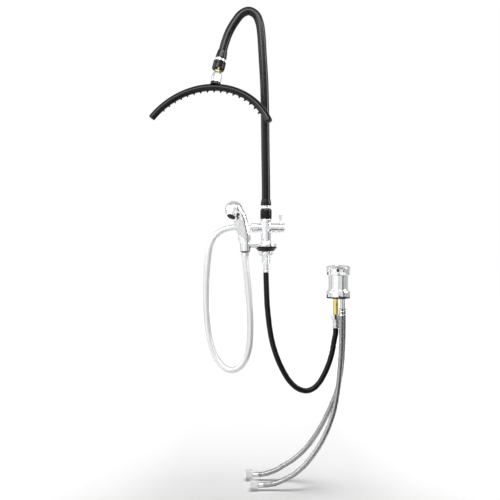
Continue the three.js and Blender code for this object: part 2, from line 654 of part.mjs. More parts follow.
function makeMixerHandle() {
  const handle = new THREE.Group();
  handle.position.set(MIXER_X, 0, 0);
  handle.rotation.z = rad(HANDLE_TURN);
  group.add(handle);

  // the cap and the lever that grows out of it, seen from above
  const cap = turned([
    [0, SKIRT_BOTTOM], [SKIRT_R - 0.3, SKIRT_BOTTOM], [SKIRT_R, SKIRT_BOTTOM + 0.6], [CAP_R, -46],
    [CAP_R, -36.6], [CAP_R - 1.4, -34.6], [20, -32.8], [0, -31.6],
  ], 20);
  const tongue = new THREE.Shape();
  tongue.moveTo(-24, -8);
  tongue.lineTo(-7.4, -57);
  tongue.quadraticCurveTo(-6, -61, 0, -61);
  tongue.quadraticCurveTo(6, -61, 7.4, -57);
  tongue.lineTo(24, -8);
  tongue.closePath();
  const lever = new THREE.ExtrudeGeometry(tongue, { depth: 5.2, bevelEnabled: false, curveSegments: 5 });
  lever.rotateX(rad(-5)).translate(0, 0, -39.8);
  const cavity = turned([
    [0, SKIRT_BOTTOM - 1], [SKIRT_R - 0.9, SKIRT_BOTTOM - 1], [SKIRT_R - 0.9, -54], [25.6, -48],
    [25.6, -41], [23.4, -38.6], [0, -38.6],
  ], 20);
  const stemHole = new THREE.BoxGeometry(7.6, 7.6, 6).translate(0, 0, -38);
  const dotSeat = rod(3.1, -1.2, 1.2, 12).rotateX(Math.PI / 2).translate(0, -CAP_R, -43.9);
  piece(handle, "mixer_handle", cut(join(cap, lever), cavity, stemHole, dotSeat), chrome());

  const dot = rod(2.8, -0.7, 0.7, 12).rotateX(Math.PI / 2).translate(0, -CAP_R + 0.1, -43.9);
  piece(handle, "indicator_dot", dot, finish(0x2a0f14, 0.3, 0));

  const stem = new THREE.BoxGeometry(7, 7, 22).translate(0, 0, -47.1);
  piece(handle, "cartridge_stem", stem, brass());
}

// ---------------------------------------------------------------- pipes and hoses

function makeLink() {
  const pipe = at(sleeve(4, [[WATERWAY_R, -145.4], [WATERWAY_R, -88]], SMALL_ROUND), PIPE);
  piece(group, "outlet_pipe", pipe, brass());
  const nut = at(hexNut(12.2, 6.4, -157, -145.7), PIPE);
  piece(group, "link_nut", nut, chrome());
  const ferrule = at(sleeve(3, [
    [7.2, -177.6], [7.7, -176.6], [7.7, -157.3], [6, -157.3], [6, -152],
  ], SMALL_ROUND), PIPE);
  piece(group, "link_ferrule", ferrule, steel());

  const hose = route([
    [0, 0, -48.9], [0.3, 0, -62], [1.2, 0, -90], [2.6, 0, -120], [5.2, 0, -150], [9.2, 0, -182],
    [14.2, 0, -208], [21.4, 0, -233], [31, 1, -258], [43.7, 2, -283], [53.5, 3, -298],
    [66, 4, -311], [80, 5, -319.5],
    [94.5, 6, -322], [108.5, 7, -317.5], [121, 8, -306.5], [132, 8, -289.5], [143.5, 9, -265],
    [152.4, 9, -237], [158, 9, -206], [161.2, 9, -190], [PIPE.x, PIPE.y, -177.9],
  ]);
  piece(group, "link_hose", sweep(ringOutline(LINK_HOSE_R, 0, 8), hose, 24), blackRubber());
}

function makeSupply(side, spot, points) {
  const tail = at(sleeve(2.5, [
    [5.2, -149], [5.9, -148], [5.9, -131], [5.2, -130], [4, -130], [4, -88],
  ], 12), spot);
  piece(group, `supply_tail_${side}`, tail, steel());

  const curve = route([[spot.x, spot.y, -149.3], ...points]);
  piece(group, `supply_hose_${side}`, sweep(ringOutline(SUPPLY_HOSE_R, 0, 8), curve, 24), braid());

  // the far end lies level: ferrule, then a union nut that turns on it
  const end = new THREE.Group();
  end.position.copy(curve.getPoint(1));
  end.quaternion.setFromUnitVectors(new THREE.Vector3(0, 0, 1), curve.getTangent(1));
  group.add(end);
  const ferrule = sleeve(2.5, [
    [5.7, GAP], [6.1, 1], [6.1, 12], [5, 12.6], [5, 18], [8.8, 18], [8.8, 20],
  ], 12);
  piece(end, `supply_ferrule_${side}`, ferrule, steel());
  const hex = hexNut(SUPPLY_NUT_R, 5.5, 13, 13 + SUPPLY_NUT_LENGTH).rotateZ(Math.PI / 6);
  const thread = rod(9.6, 16.4, 14 + SUPPLY_NUT_LENGTH, SMALL_ROUND);
  piece(end, `supply_nut_${side}`, cut(hex, thread), chrome());
}

makeColumn();
makeDiverter();
makeHandOutlet();
makeGooseneck();
makeArc();
makeHolder();
makeHandShower();
makeMixer();
makeLink();
makeSupply("front", TAIL_FRONT, [
  [172.4, -10.2, -166], [172, -11, -205], [170, -12.5, -250], [166.5, -14, -290], [162, -15.5, -325],
  [155.5, -17.5, -358], [146, -19.5, -388], [134, -21.5, -416], [119, -23, -443], [102, -24, -467],
  [83, -25, -488.5], [62, -25, -505.5], [41, -25, -517], [21, -25, -525], [4, -25, -528.1],
  [-6.5, -25, -528.5],
]);
makeSupply("back", TAIL_BACK, [
  [178.4, 2.2, -166], [178, 4, -205], [176.2, 7, -250], [172, 10, -290], [164.5, 14, -325], [155, 18, -352],
  [144, 22.5, -379], [131.5, 27.5, -405.5], [117.5, 32.5, -431], [101.5, 37, -455], [84, 41, -475.5],
  [65, 44, -492.5], [45, 46, -505.5], [24.5, 46, -517.5], [5, 46, -524.6], [-9, 46, -527.6],
  [-17.5, 46, -528],
]);

export default group;
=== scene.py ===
import json
from math import acos, asin, atan2, cos, hypot, pi, radians, sin, sqrt, tan

import bmesh
import bpy
import numpy as np
from mathutils import Matrix, Vector
from numpy.linalg import norm


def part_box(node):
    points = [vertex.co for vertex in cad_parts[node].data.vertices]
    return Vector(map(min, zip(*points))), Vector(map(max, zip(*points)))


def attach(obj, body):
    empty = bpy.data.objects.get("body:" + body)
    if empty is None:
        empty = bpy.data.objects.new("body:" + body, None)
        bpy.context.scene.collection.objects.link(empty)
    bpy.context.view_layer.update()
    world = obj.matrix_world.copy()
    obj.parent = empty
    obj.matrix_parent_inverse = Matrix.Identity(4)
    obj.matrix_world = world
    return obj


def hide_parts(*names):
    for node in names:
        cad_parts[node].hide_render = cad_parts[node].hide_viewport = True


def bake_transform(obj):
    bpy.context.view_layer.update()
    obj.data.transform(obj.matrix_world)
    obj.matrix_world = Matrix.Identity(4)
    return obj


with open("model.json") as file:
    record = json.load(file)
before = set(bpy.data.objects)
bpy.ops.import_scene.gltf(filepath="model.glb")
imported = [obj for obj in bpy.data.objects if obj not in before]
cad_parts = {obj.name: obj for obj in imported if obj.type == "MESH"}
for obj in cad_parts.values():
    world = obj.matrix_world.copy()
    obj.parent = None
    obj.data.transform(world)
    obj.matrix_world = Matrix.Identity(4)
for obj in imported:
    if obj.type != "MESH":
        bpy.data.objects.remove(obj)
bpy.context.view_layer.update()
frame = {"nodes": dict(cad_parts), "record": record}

# Salon rinse set: diverter column with gooseneck and spray arc, hand shower, and a mixer.
# Shapes are worked out in millimetres in the row frame and turned into metres in add_mesh().

MM = 0.001
TAU = 2 * pi


def centre(node):
    """Middle of a CAD node's box, in millimetres."""
    low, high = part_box(node)
    return (low + high) / 2 / MM


def put(name, data):
    """A new object in the scene."""
    made = bpy.data.objects.new(name, data)
    bpy.context.scene.collection.objects.link(made)
    return made


# ---- camera

CAMERA_PLACE = (-0.0368, -1.6, 0.003)
CAMERA_LENS = 50.09


def make_camera():
    data = bpy.data.cameras.new("camera")
    data.lens = CAMERA_LENS
    data.sensor_width = 36
    camera = put("camera", data)
    camera.location = CAMERA_PLACE
    camera.rotation_euler = (pi / 2, 0, 0)
    bpy.context.scene.camera = camera


make_camera()


# ---- materials

class Shader:
    """A Principled material and short ways to wire nodes into it."""

    def __init__(self, name, **constants):
        self.material = bpy.data.materials.new(name)
        self.material.use_nodes = True
        self.tree = self.material.node_tree
        self.surface = self.tree.nodes["Principled BSDF"]
        for socket, value in constants.items():
            self.surface.inputs[socket.replace("_", " ")].default_value = value
        self.places = self.tree.nodes.new("ShaderNodeTexCoord")

    def feed(self, target, value):
        """Links another node's output to a socket, or sets the socket to a constant."""
        if isinstance(value, bpy.types.NodeSocket):
            self.tree.links.new(value, target)
        else:
            target.default_value = value

    def into(self, socket, source):
        self.feed(self.surface.inputs[socket], source)

    def node(self, kind, **inputs):
        made = self.tree.nodes.new("ShaderNode" + kind)
        for socket, value in inputs.items():
            self.feed(made.inputs[socket.replace("_", " ")], value)
        return made

    def math(self, operation, first, second=None):
        node = self.node("Math")
        node.operation = operation
        self.feed(node.inputs[0], first)
        if second is not None:
            self.feed(node.inputs[1], second)
        return node.outputs[0]

    def noise(self, scale, detail, stretch=(1, 1, 1)):
        mapping = self.node("Mapping", Vector=self.places.outputs["Object"], Scale=stretch)
        noise = self.node("TexNoise", Vector=mapping.outputs["Vector"], Scale=scale, Detail=detail)
        return noise.outputs["Fac"]

    def spread(self, source, low, high, start=0.3, end=0.7):
        """Maps start to end onto low to high."""
        node = self.node("MapRange", Value=source, From_Min=start, From_Max=end, To_Min=low, To_Max=high)
        return node.outputs["Result"]

    def blend(self, factor, first, second):
        node = self.node("Mix")
        node.data_type = "RGBA"
        self.feed(node.inputs["Factor"], factor)
        for name, colour in (("A", first), ("B", second)):
            socket = [s for s in node.inputs if s.name == name and s.type == "RGBA"][0]
            self.feed(socket, (*colour, 1) if isinstance(colour, tuple) else colour)
        return [s for s in node.outputs if s.type == "RGBA"][0]

    def bump(self, height, distance, strength):
        node = self.node("Bump", Strength=strength, Distance=distance, Height=height)
        self.into("Normal", node.outputs["Normal"])

    def along(self):
        """The tube's own coordinates: turns round it, and metres along it."""
        split = self.node("SeparateXYZ", Vector=self.places.outputs["UV"])
        return split.outputs[0], split.outputs[1]


def polished_metal(name, bright, dim, smooth, rough):
    """Plated or bare metal: faint clouding, fine wiping marks and a barely uneven surface."""
    s = Shader(name, Metallic=1.0)
    cloud = s.noise(160, 4)
    wipe = s.noise(420, 5, (1, 1, 0.12))
    s.into("Base Color", s.blend(s.spread(cloud, 0, 1), bright, dim))
    s.into("Roughness", s.spread(s.math("MULTIPLY", cloud, wipe), smooth, rough, 0.12, 0.45))
    s.bump(wipe, 2e-5, 0.25)
    return s.material


def chrome():
    return polished_metal("chrome", (0.93, 0.935, 0.945), (0.86, 0.865, 0.875), 0.045, 0.12)


def brass():
    return polished_metal("brass", (0.97, 0.82, 0.33), (0.86, 0.66, 0.2), 0.06, 0.16)


def steel():
    return polished_metal("steel", (0.8, 0.8, 0.805), (0.66, 0.66, 0.665), 0.1, 0.24)


def moulded(name, dark, light, smooth, rough, grain, depth, specular, coat=0.0):
    """Rubber or plastic: mottled colour, uneven gloss and a fine moulded grain."""
    s = Shader(name, Specular_IOR_Level=specular, Coat_Weight=coat, Coat_Roughness=0.15)
    mottle = s.noise(90, 5)
    fine = s.noise(grain, 2)
    s.into("Base Color", s.blend(s.spread(mottle, 0, 1), dark, light))
    s.into("Roughness", s.spread(mottle, smooth, rough))
    s.bump(fine, depth, 0.5)
    return s.material


def black_rubber():
    dark, light = (0.002, 0.002, 0.0022), (0.004, 0.004, 0.0045)
    return moulded("black_rubber", dark, light, 0.18, 0.28, 1400, 1e-5, 0.28)


def black_plastic():
    dark, light = (0.0015, 0.0015, 0.0017), (0.003, 0.003, 0.0034)
    return moulded("black_plastic", dark, light, 0.14, 0.22, 1100, 1e-5, 0.26)


def grey_plastic():
    return moulded("grey_plastic", (0.66, 0.665, 0.67), (0.74, 0.745, 0.75), 0.3, 0.42, 900, 3e-5, 0.5)


def white_plastic():
    return moulded("white_plastic", (0.78, 0.78, 0.76), (0.86, 0.86, 0.85), 0.3, 0.4, 900, 3e-5, 0.5)


def indicator():
    dark, light = (0.03, 0.006, 0.01), (0.05, 0.008, 0.014)
    return moulded("indicator", dark, light, 0.12, 0.2, 700, 1e-5, 0.5, 0.6)


WEAVE_BANDS = 8  # wire bands each way round a braided hose
WEAVE_PITCH = 0.0088  # metres of hose for one band's turn across its neighbour
WIRES = 4  # wires in a band


def braid():
    """Stainless braid: two crossing sets of flat wire bands, darker in the gaps."""
    s = Shader("braid", Metallic=0.92)
    around, along = s.along()
    turns = s.math("MULTIPLY", around, WEAVE_BANDS)
    rise = s.math("DIVIDE", along, WEAVE_PITCH / 2)
    right, left = s.math("ADD", turns, rise), s.math("SUBTRACT", turns, rise)
    cells = s.math("ADD", s.math("FLOOR", right), s.math("FLOOR", left))
    over = s.math("FLOORED_MODULO", cells, 2)
    heights = []
    for band in (right, left):
        across = s.math("FRACT", band)
        crown = s.math("SINE", s.math("MULTIPLY", across, pi))
        wire = s.math("ABSOLUTE", s.math("SINE", s.math("MULTIPLY", across, WIRES * pi)))
        heights.append(s.math("ADD", s.math("MULTIPLY", crown, 0.65), s.math("MULTIPLY", wire, 0.35)))
    upper = s.math("MULTIPLY", heights[0], over)
    lower = s.math("MULTIPLY", heights[1], s.math("SUBTRACT", 1.0, over))
    height = s.math("ADD", upper, lower)
    worn = s.noise(240, 3)
    metal = s.blend(s.spread(worn, 0, 1), (0.5, 0.5, 0.505), (0.36, 0.36, 0.365))
    s.into("Base Color", s.blend(s.spread(height, 0, 1, 0.1, 0.6), (0.05, 0.05, 0.052), metal))
    s.into("Roughness", s.spread(worn, 0.2, 0.32))
    s.bump(height, 0.0002, 0.5)
    return s.material


SPIRAL_PITCH = 0.0036


def silver_hose():
    """Clear-skinned silver shower hose: a fine spiral foil under a glossy coat."""
    s = Shader("silver_hose", Metallic=0.62, Coat_Weight=0.25, Coat_Roughness=0.2, Specular_IOR_Level=0.4)
    around, along = s.along()
    phase = s.math("ADD", s.math("DIVIDE", along, SPIRAL_PITCH), around)
    wave = s.math("ABSOLUTE", s.math("SUBTRACT", s.math("FRACT", phase), 0.5))
    cloud = s.noise(120, 4)
    foil = s.blend(s.spread(cloud, 0, 1), (0.76, 0.765, 0.775), (0.73, 0.735, 0.745))
    s.into("Base Color", s.blend(s.spread(wave, 0, 1, 0.02, 0.12), (0.72, 0.725, 0.735), foil))
    s.into("Roughness", s.spread(cloud, 0.32, 0.4))
    s.bump(wave, 1e-5, 0.08)
    return s.material


def plated_plastic():
    return polished_metal("plated_plastic", (0.93, 0.935, 0.94), (0.85, 0.855, 0.865), 0.06, 0.14)


FINISHES = (chrome, brass, steel, braid, black_rubber, black_plastic, grey_plastic, white_plastic,
            plated_plastic, silver_hose, indicator)
SLOTS = {finish.__name__: finish() for finish in FINISHES}
SLOT_OF = {part["node"]: part["material_slot"] for part in frame["record"]["subparts"]}
BODY_OF = {node: body for body, nodes in frame["record"]["behaviour"]["bodies"].items() for node in nodes}


# ---- mesh helpers

def add_mesh(name, points, faces, place=None, sharp=32, normals=None, round_uv=None):
    """A smooth-shaded mesh object from millimetre points; edges over the angle stay sharp."""
    points = np.asarray(points, float)
    turn = np.eye(3)
    if place is not None:
        turn = np.array(place.to_3x3())
        points = points @ turn.T + np.array(place.translation)
    mesh = bpy.data.meshes.new(name)
    mesh.from_pydata((points * MM).tolist(), [], [list(f) for f in faces])
    if round_uv is not None:
        layer = mesh.uv_layers.new(name="along")
        layer.data.foreach_set("uv", np.asarray(round_uv, np.float32).ravel())
    mesh.polygons.foreach_set("use_smooth", [True] * len(mesh.polygons))
    if normals is not None:
        mesh.normals_split_custom_set_from_vertices((normals @ turn.T).tolist())
    else:
        shaped = bmesh.new()
        shaped.from_mesh(mesh)
        bmesh.ops.recalc_face_normals(shaped, faces=shaped.faces)
        limit = radians(sharp)
        for edge in shaped.edges:
            if len(edge.link_faces) == 2 and edge.calc_face_angle() > limit:
                edge.smooth = False
        shaped.to_mesh(mesh)
        shaped.free()
    return put(name, mesh)


def settle(made, *nodes):
    """The piece stands for these CAD nodes, in their finish, and moves with their body."""
    slot = SLOT_OF[nodes[0]]
    made.data.materials.append(SLOTS[slot])
    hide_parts(*nodes)
    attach(made, BODY_OF[nodes[0]])
    return made


def rounded(profile, fillet, steps=4):
    """The profile with its corners rounded. A third number in a corner is its own radius."""
    corners = [np.array(p[:2], float) for p in profile]
    out = [corners[0]]
    for k in range(1, len(corners) - 1):
        radius = profile[k][2] if len(profile[k]) > 2 else fillet
        before, here, after = corners[k - 1], corners[k], corners[k + 1]
        back, ahead = before - here, after - here
        room = min(norm(back), norm(ahead)) * 0.48
        back, ahead = back / norm(back), ahead / norm(ahead)
        half = acos(max(-1.0, min(1.0, float(back @ ahead)))) / 2
        reach = min(room, radius / max(tan(half), 1e-3))
        if reach < 0.02:
            out.append(here)
            continue
        for i in range(steps + 1):
            t = i / steps
            a, c = here + back * reach, here + ahead * reach
            out.append((1 - t) ** 2 * a + 2 * t * (1 - t) * here + t ** 2 * c)
    out.append(corners[-1])
    return out


def band(a, b, count):
    """Quads between two rings of points that start at a and at b."""
    return [(a + i, a + (i + 1) % count, b + (i + 1) % count, b + i) for i in range(count)]


def lathe(name, profile, fillet, sides=72, place=None, ripple=None):
    """Turned piece about Z. A profile that starts off the axis is a ring; ripple(angle, z) adds to r."""
    ring = profile[0][0] > 0
    rows = rounded([*profile, profile[0]], fillet)[:-1] if ring else rounded(profile, fillet)
    angles = np.arange(sides) * TAU / sides
    points, starts = [], []
    for r, z in rows:
        starts.append(len(points))
        if r < 1e-6:
            points.append((0, 0, z))
            continue
        radii = r + (ripple(angles, z) if ripple else 0 * angles)
        points.extend(zip(radii * np.cos(angles), radii * np.sin(angles), [z] * sides))
    faces = []
    count = len(rows)
    for k in range(count if ring else count - 1):
        n = (k + 1) % count
        a, b = starts[k], starts[n]
        for quad in band(a, b, sides):
            if rows[k][0] < 1e-6:
                faces.append((a, quad[3], quad[2]))
            elif rows[n][0] < 1e-6:
                faces.append((quad[0], quad[1], b))
            else:
                faces.append(quad)
    return add_mesh(name, points, faces, place)


def flutes(low, high, depth, count):
    """Ripple for shallow grooves along a turned piece, between two heights."""
    return lambda angles, z: np.where(low < z < high, -depth * (0.5 + 0.5 * np.cos(count * angles)), 0)


def turned(node, how, *shape):
    """A lathe piece that stands for one CAD node."""
    return settle(lathe(f"{node}_{how}", *shape), node)


def upright(x, y):
    return Matrix.Translation((x, y, 0))


def upright_at(node):
    """An upright axis through the middle of a CAD node."""
    middle = centre(node)
    return upright(middle.x, middle.y)


def lying(x, y, z):
    """Turns the lathe's Z into the row frame's X, with its zero at the given x."""
    return Matrix.Translation((x, y, z)) @ Matrix.Rotation(pi / 2, 4, "Y")


# ---- shapes from distance fields

def disc(radial, along, r, low, high, edge=0.4):
    """Distance to a rounded cylinder, from the distance off its axis and the place along it."""
    a = radial - (r - edge)
    b = np.abs(along - (low + high) / 2) - ((high - low) / 2 - edge)
    return np.minimum(np.maximum(a, b), 0) + np.hypot(np.maximum(a, 0), np.maximum(b, 0)) - edge


def block(p, middle, half, edge=0.4):
    d = np.abs(p - np.array(middle)) - (np.array(half) - edge)
    return np.minimum(d.max(1), 0) + norm(np.maximum(d, 0), axis=1) - edge


def melt(a, b, k):
    """Union with a fillet of about k."""
    h = np.maximum(k - np.abs(a - b), 0) / k
    return np.minimum(a, b) - h * h * k / 4


def carve(a, b, k=0.5):
    """a without b, with the edge rounded by about k."""
    return -melt(-a, b, k)


def both(a, b, k=0.5):
    return -melt(-a, -b, k)


def hexagon(u, v):
    """Distance to a hexagon's sides with the corners on the u axis, before its size is taken off."""
    slant = sqrt(3) / 2
    return np.maximum(np.abs(v), np.maximum(np.abs(u * slant + v / 2), np.abs(u * slant - v / 2)))


def off_axis(p, x=0, y=0):
    """How far each point is from the upright line through x, y."""
    return np.hypot(p[:, 0] - x, p[:, 1] - y)


def gradient(field, p, h=0.02):
    g = np.empty_like(p)
    for k in range(3):
        step = np.zeros(3)
        step[k] = h
        g[:, k] = (field(p + step) - field(p - step)) / (2 * h)
    return g


def surface_of(name, field, low, high, step, place=None):
    """Mesh of the field's zero surface: surface nets, moved onto the surface, with its own normals."""
    low = np.array(low, float)
    counts = np.ceil((np.array(high) - low) / step).astype(int) + 1
    axes = [low[k] + step * np.arange(counts[k]) for k in range(3)]
    grid = np.stack(np.meshgrid(*axes, indexing="ij"), -1)
    value = field(grid.reshape(-1, 3)).reshape(counts)
    cells = counts - 1
    total, hits = np.zeros((*cells, 3)), np.zeros(cells)
    edges = []
    for axis in range(3):
        first = np.take(value, range(counts[axis] - 1), axis)
        second = np.take(value, range(1, counts[axis]), axis)
        crossing = (first < 0) != (second < 0)
        share = np.where(crossing, first / np.where(crossing, first - second, 1), 0)
        spot = np.take(grid, range(counts[axis] - 1), axis).copy()
        spot[..., axis] += share * step
        u, v = (axis + 1) % 3, (axis + 2) % 3
        for du in (0, 1):
            for dv in (0, 1):
                pick = [slice(None)] * 3
                pick[u], pick[v] = slice(du, du + cells[u]), slice(dv, dv + cells[v])
                pick = tuple(pick)
                hits += crossing[pick]
                total += np.where(crossing[pick][..., None], spot[pick], 0)
        edges.append((axis, u, v, np.argwhere(crossing), first[crossing] < 0))
    used = hits > 0
    number = np.full(cells, -1)
    number[used] = np.arange(used.sum())
    points = total[used] / hits[used][:, None]
    faces = []
    for axis, u, v, where, outward in edges:
        inner = (where[:, u] > 0) & (where[:, v] > 0) & (where[:, u] < cells[u]) & (where[:, v] < cells[v])
        where, outward = where[inner], outward[inner]
        corners = []
        for du, dv in ((1, 1), (0, 1), (0, 0), (1, 0)):
            cell = where.copy()
            cell[:, u] -= du
            cell[:, v] -= dv
            corners.append(number[cell[:, 0], cell[:, 1], cell[:, 2]])
        quads = np.stack(corners, 1)
        quads[~outward] = quads[~outward][:, ::-1]
        faces.extend(quads.tolist())
    for _ in range(5):
        g = gradient(field, points)
        move = -field(points)[:, None] * g / np.maximum((g * g).sum(1), 0.05)[:, None]
        far = norm(move, axis=1, keepdims=True)
        points = points + move * np.minimum(1, step * 0.5 / np.maximum(far, 1e-9))
    normals = gradient(field, points)
    normals /= np.maximum(norm(normals, axis=1, keepdims=True), 1e-9)
    return add_mesh(name, points, faces, place, normals=normals)


def formed(node, how, *shape):
    """A piece made from a distance field that stands for one CAD node."""
    return settle(surface_of(f"{node}_{how}", *shape), node)


# ---- tubes along a route

def spline(route, spacing):
    """Points along a centripetal Catmull-Rom curve through the route, evenly spaced."""
    route = [Vector(p) for p in route]
    ends = [route[0] * 2 - route[1], *route, route[-1] * 2 - route[-2]]
    fine = []
    for k in range(1, len(ends) - 2):
        p0, p1, p2, p3 = ends[k - 1:k + 3]
        d0, d1, d2 = ((a - b).length ** 0.5 for a, b in ((p0, p1), (p1, p2), (p2, p3)))
        m1 = ((p1 - p0) / d0 - (p2 - p0) / (d0 + d1) + (p2 - p1) / d1) * d1
        m2 = ((p2 - p1) / d1 - (p3 - p1) / (d1 + d2) + (p3 - p2) / d2) * d1
        for i in range(24):
            t = i / 24
            fine.append((2 * p1 - 2 * p2 + m1 + m2) * t ** 3 + (-3 * p1 + 3 * p2 - 2 * m1 - m2) * t ** 2
                        + m1 * t + p1)
    fine.append(ends[-2])
    fine = np.array([tuple(p) for p in fine])
    far = np.concatenate([[0], np.cumsum(norm(np.diff(fine, axis=0), axis=1))])
    marks = np.linspace(0, far[-1], max(2, round(far[-1] / spacing)) + 1)
    return np.stack([np.interp(marks, far, fine[:, k]) for k in range(3)], 1), marks


def frames_along(path):
    """Two directions square to the path at each point, that don't twist."""
    tangents = np.gradient(path, axis=0)
    tangents /= norm(tangents, axis=1, keepdims=True)
    side = np.cross(tangents[0], (0, 1, 0))
    sides = []
    for t in tangents:
        side = side - t * (side @ t)
        side = side / norm(side)
        sides.append(side)
    sides = np.array(sides)
    return sides, np.cross(tangents, sides)


def tube(name, path, marks, radius, sides=32, relief=None):
    """Closed tube on a path; relief(turns, metres) is added to the radius. UV is (turns, metres)."""
    one, two = frames_along(path)
    turns = np.arange(sides) / sides
    angle = turns * TAU
    radii = np.full((len(path), sides), float(radius))
    if relief:
        radii = radii + relief(turns[None, :], marks[:, None] * MM)
    across = np.cos(angle)[None, :, None] * one[:, None] + np.sin(angle)[None, :, None] * two[:, None]
    points = (path[:, None] + radii[..., None] * across).reshape(-1, 3)
    faces, uv = [], []
    for k in range(len(path) - 1):
        low, high = marks[k] * MM, marks[k + 1] * MM
        faces += band(k * sides, (k + 1) * sides, sides)
        for i in range(sides):
            u0, u1 = i / sides, (i + 1) / sides
            uv += [(u0, low), (u1, low), (u1, high), (u0, high)]
    last = (len(path) - 1) * sides
    for ring, mark in ((range(sides), marks[0]), (range(last, last + sides), marks[-1])):
        faces.append(tuple(ring))
        uv += [(i / sides, mark * MM) for i in range(sides)]
    return add_mesh(name, points, faces, round_uv=uv, sharp=60)


def weave_relief(turns, metres):
    """The braid's real height, the same pattern as in its material."""
    rise = metres / (WEAVE_PITCH / 2)
    right, left = turns * WEAVE_BANDS + rise, turns * WEAVE_BANDS - rise
    over = np.mod(np.floor(right + 1e-6) + np.floor(left + 1e-6), 2)
    crown = [np.sin(np.mod(band, 1) * pi) for band in (right, left)]
    return 0.22 * (np.where(over > 0.5, crown[0], crown[1]) - 0.8)


# ---- cords

HAND_HOSE_R = 7
LINK_HOSE_R = 6.3
SUPPLY_HOSE_R = 5.6

HAND_ROUTE = [
    (-35.3, 0, 53.6), (-42, 0, 53.6), (-56, 0, 54.4), (-74, 1, 55), (-90, 3, 52), (-104.7, 5, 45.8),
    (-117, 7, 35.5), (-126.5, 8, 20), (-132, 9, 0), (-135.2, 9, -28), (-138, 9, -69), (-138.5, 8, -104),
    (-137.6, 6, -140), (-132.9, 3, -186), (-127.6, 0, -211), (-116.4, -5, -241), (-100, -11, -261.5),
    (-80, -17, -270.5), (-59, -22, -262), (-44.5, -26, -240), (-37.8, -28, -212), (-36.1, -28, -180),
    (-36.6, -28, -139), (-40.3, -28, -92), (-44, -28, -50), (-47.2, -28, -24), (-47.6, -28, -11.1),
]
LINK_ROUTE = [
    (0, 0, -48.9), (0.3, 0, -62), (1.2, 0, -90), (2.6, 0, -120), (5.2, 0, -150), (9.2, 0, -182),
    (14.2, 0, -208), (21.4, 0, -233), (31, 1, -258), (43.7, 2, -283), (53.5, 3, -298), (66, 4, -311),
    (80, 5, -319.5), (94.5, 6, -322), (108.5, 7, -317.5), (121, 8, -306.5), (132, 8, -289.5),
    (143.5, 9, -265), (152.4, 9, -237), (158, 9, -206), (161.2, 9, -190), (161.5, 9, -177.9),
]
SUPPLY_ROUTES = {
    "front": [
        (172.5, -10, -149.3), (172.4, -10.2, -166), (172, -11, -205), (170, -12.5, -250), (166.5, -14, -290),
        (162, -15.5, -325), (155.5, -17.5, -358), (146, -19.5, -388), (134, -21.5, -416), (119, -23, -443),
        (102, -24, -467), (83, -25, -488.5), (62, -25, -505.5), (41, -25, -517), (21, -25, -525),
        (4, -25, -528.1), (-6.5, -25, -528.5),
    ],
    "back": [
        (178.5, 2, -149.3), (178.4, 2.2, -166), (178, 4, -205), (176.2, 7, -250), (172, 10, -290),
        (164.5, 14, -325), (155, 18, -352), (144, 22.5, -379), (131.5, 27.5, -405.5), (117.5, 32.5, -431),
        (101.5, 37, -455), (84, 41, -475.5), (65, 44, -492.5), (45, 46, -505.5), (24.5, 46, -517.5),
        (5, 46, -524.6), (-9, 46, -527.6), (-17.5, 46, -528),
    ],
}


def metres(points):
    return [[float(c) * MM for c in p] for p in points]


def mark_cord(made, path, radius, far_end, lay, **more):
    length = float(norm(np.diff(path, axis=0), axis=1).sum()) * MM


def make_hand_hose():
    """One hose in two pieces that meet on its left strand."""
    path, marks = spline(HAND_ROUTE, 3)
    split = int(np.argmin(np.abs(path[:, 2] + 104) + 1000 * (path[:, 0] > -120)))
    for name, part in (("hand_hose_upper", slice(0, split + 1)), ("hand_hose_lower", slice(split, None))):
        made = tube(name, path[part], marks[part], HAND_HOSE_R, 36)
        made.data.materials.append(SLOTS["silver_hose"])
        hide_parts("hand_hose")
        mark_cord(made, path[part], HAND_HOSE_R, "object", "hanging")
        if name == "hand_hose_upper":
            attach(made, "root")
        else:
            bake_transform(made)


def make_link_hose():
    path, marks = spline(LINK_ROUTE, 3)
    made = settle(tube("link_hose_skin", path, marks, LINK_HOSE_R, 32), "link_hose")
    mark_cord(made, path, LINK_HOSE_R, "object", "hanging")


def make_supply_hose(side, pieces):
    path, marks = spline(SUPPLY_ROUTES[side], 0.75)
    made = tube(f"supply_hose_{side}_braid", path, marks, SUPPLY_HOSE_R, 48, weave_relief)
    settle(made, f"supply_hose_{side}")
    mark_cord(made, path, SUPPLY_HOSE_R, "connector", "loose", with_pieces=pieces)


# ---- supply ends

SUPPLY_END = {  # where each hose ends and which way it points, in metres
    "front": ((-0.0065, -0.025, -0.5285), (-0.99928, 0, -0.03794)),
    "back": ((-0.0175, 0.046, -0.528), (-0.99890, 0, -0.04685)),
}


def hex_nut_field(corner, low, high, bore, bore_from, turned=0.0, chamfer=1.1):
    """Hexagonal nut about Z with turned-off corners and a bore open at its top."""
    flat = corner * cos(pi / 6)
    c, s = cos(turned), sin(turned)

    def field(p):
        u, v = p[:, 0] * c + p[:, 1] * s, p[:, 1] * c - p[:, 0] * s
        radial = off_axis(p)
        height = np.abs(p[:, 2] - (low + high) / 2) - (high - low) / 2
        nut = both(hexagon(u, v) - flat, height, 0.35)
        nut = both(nut, (radial - (corner - chamfer) + 1.6 * height) / 1.9, 0.3)
        return carve(nut, disc(radial, p[:, 2], bore, bore_from, high + 5, 0.2), 0.5)

    return field


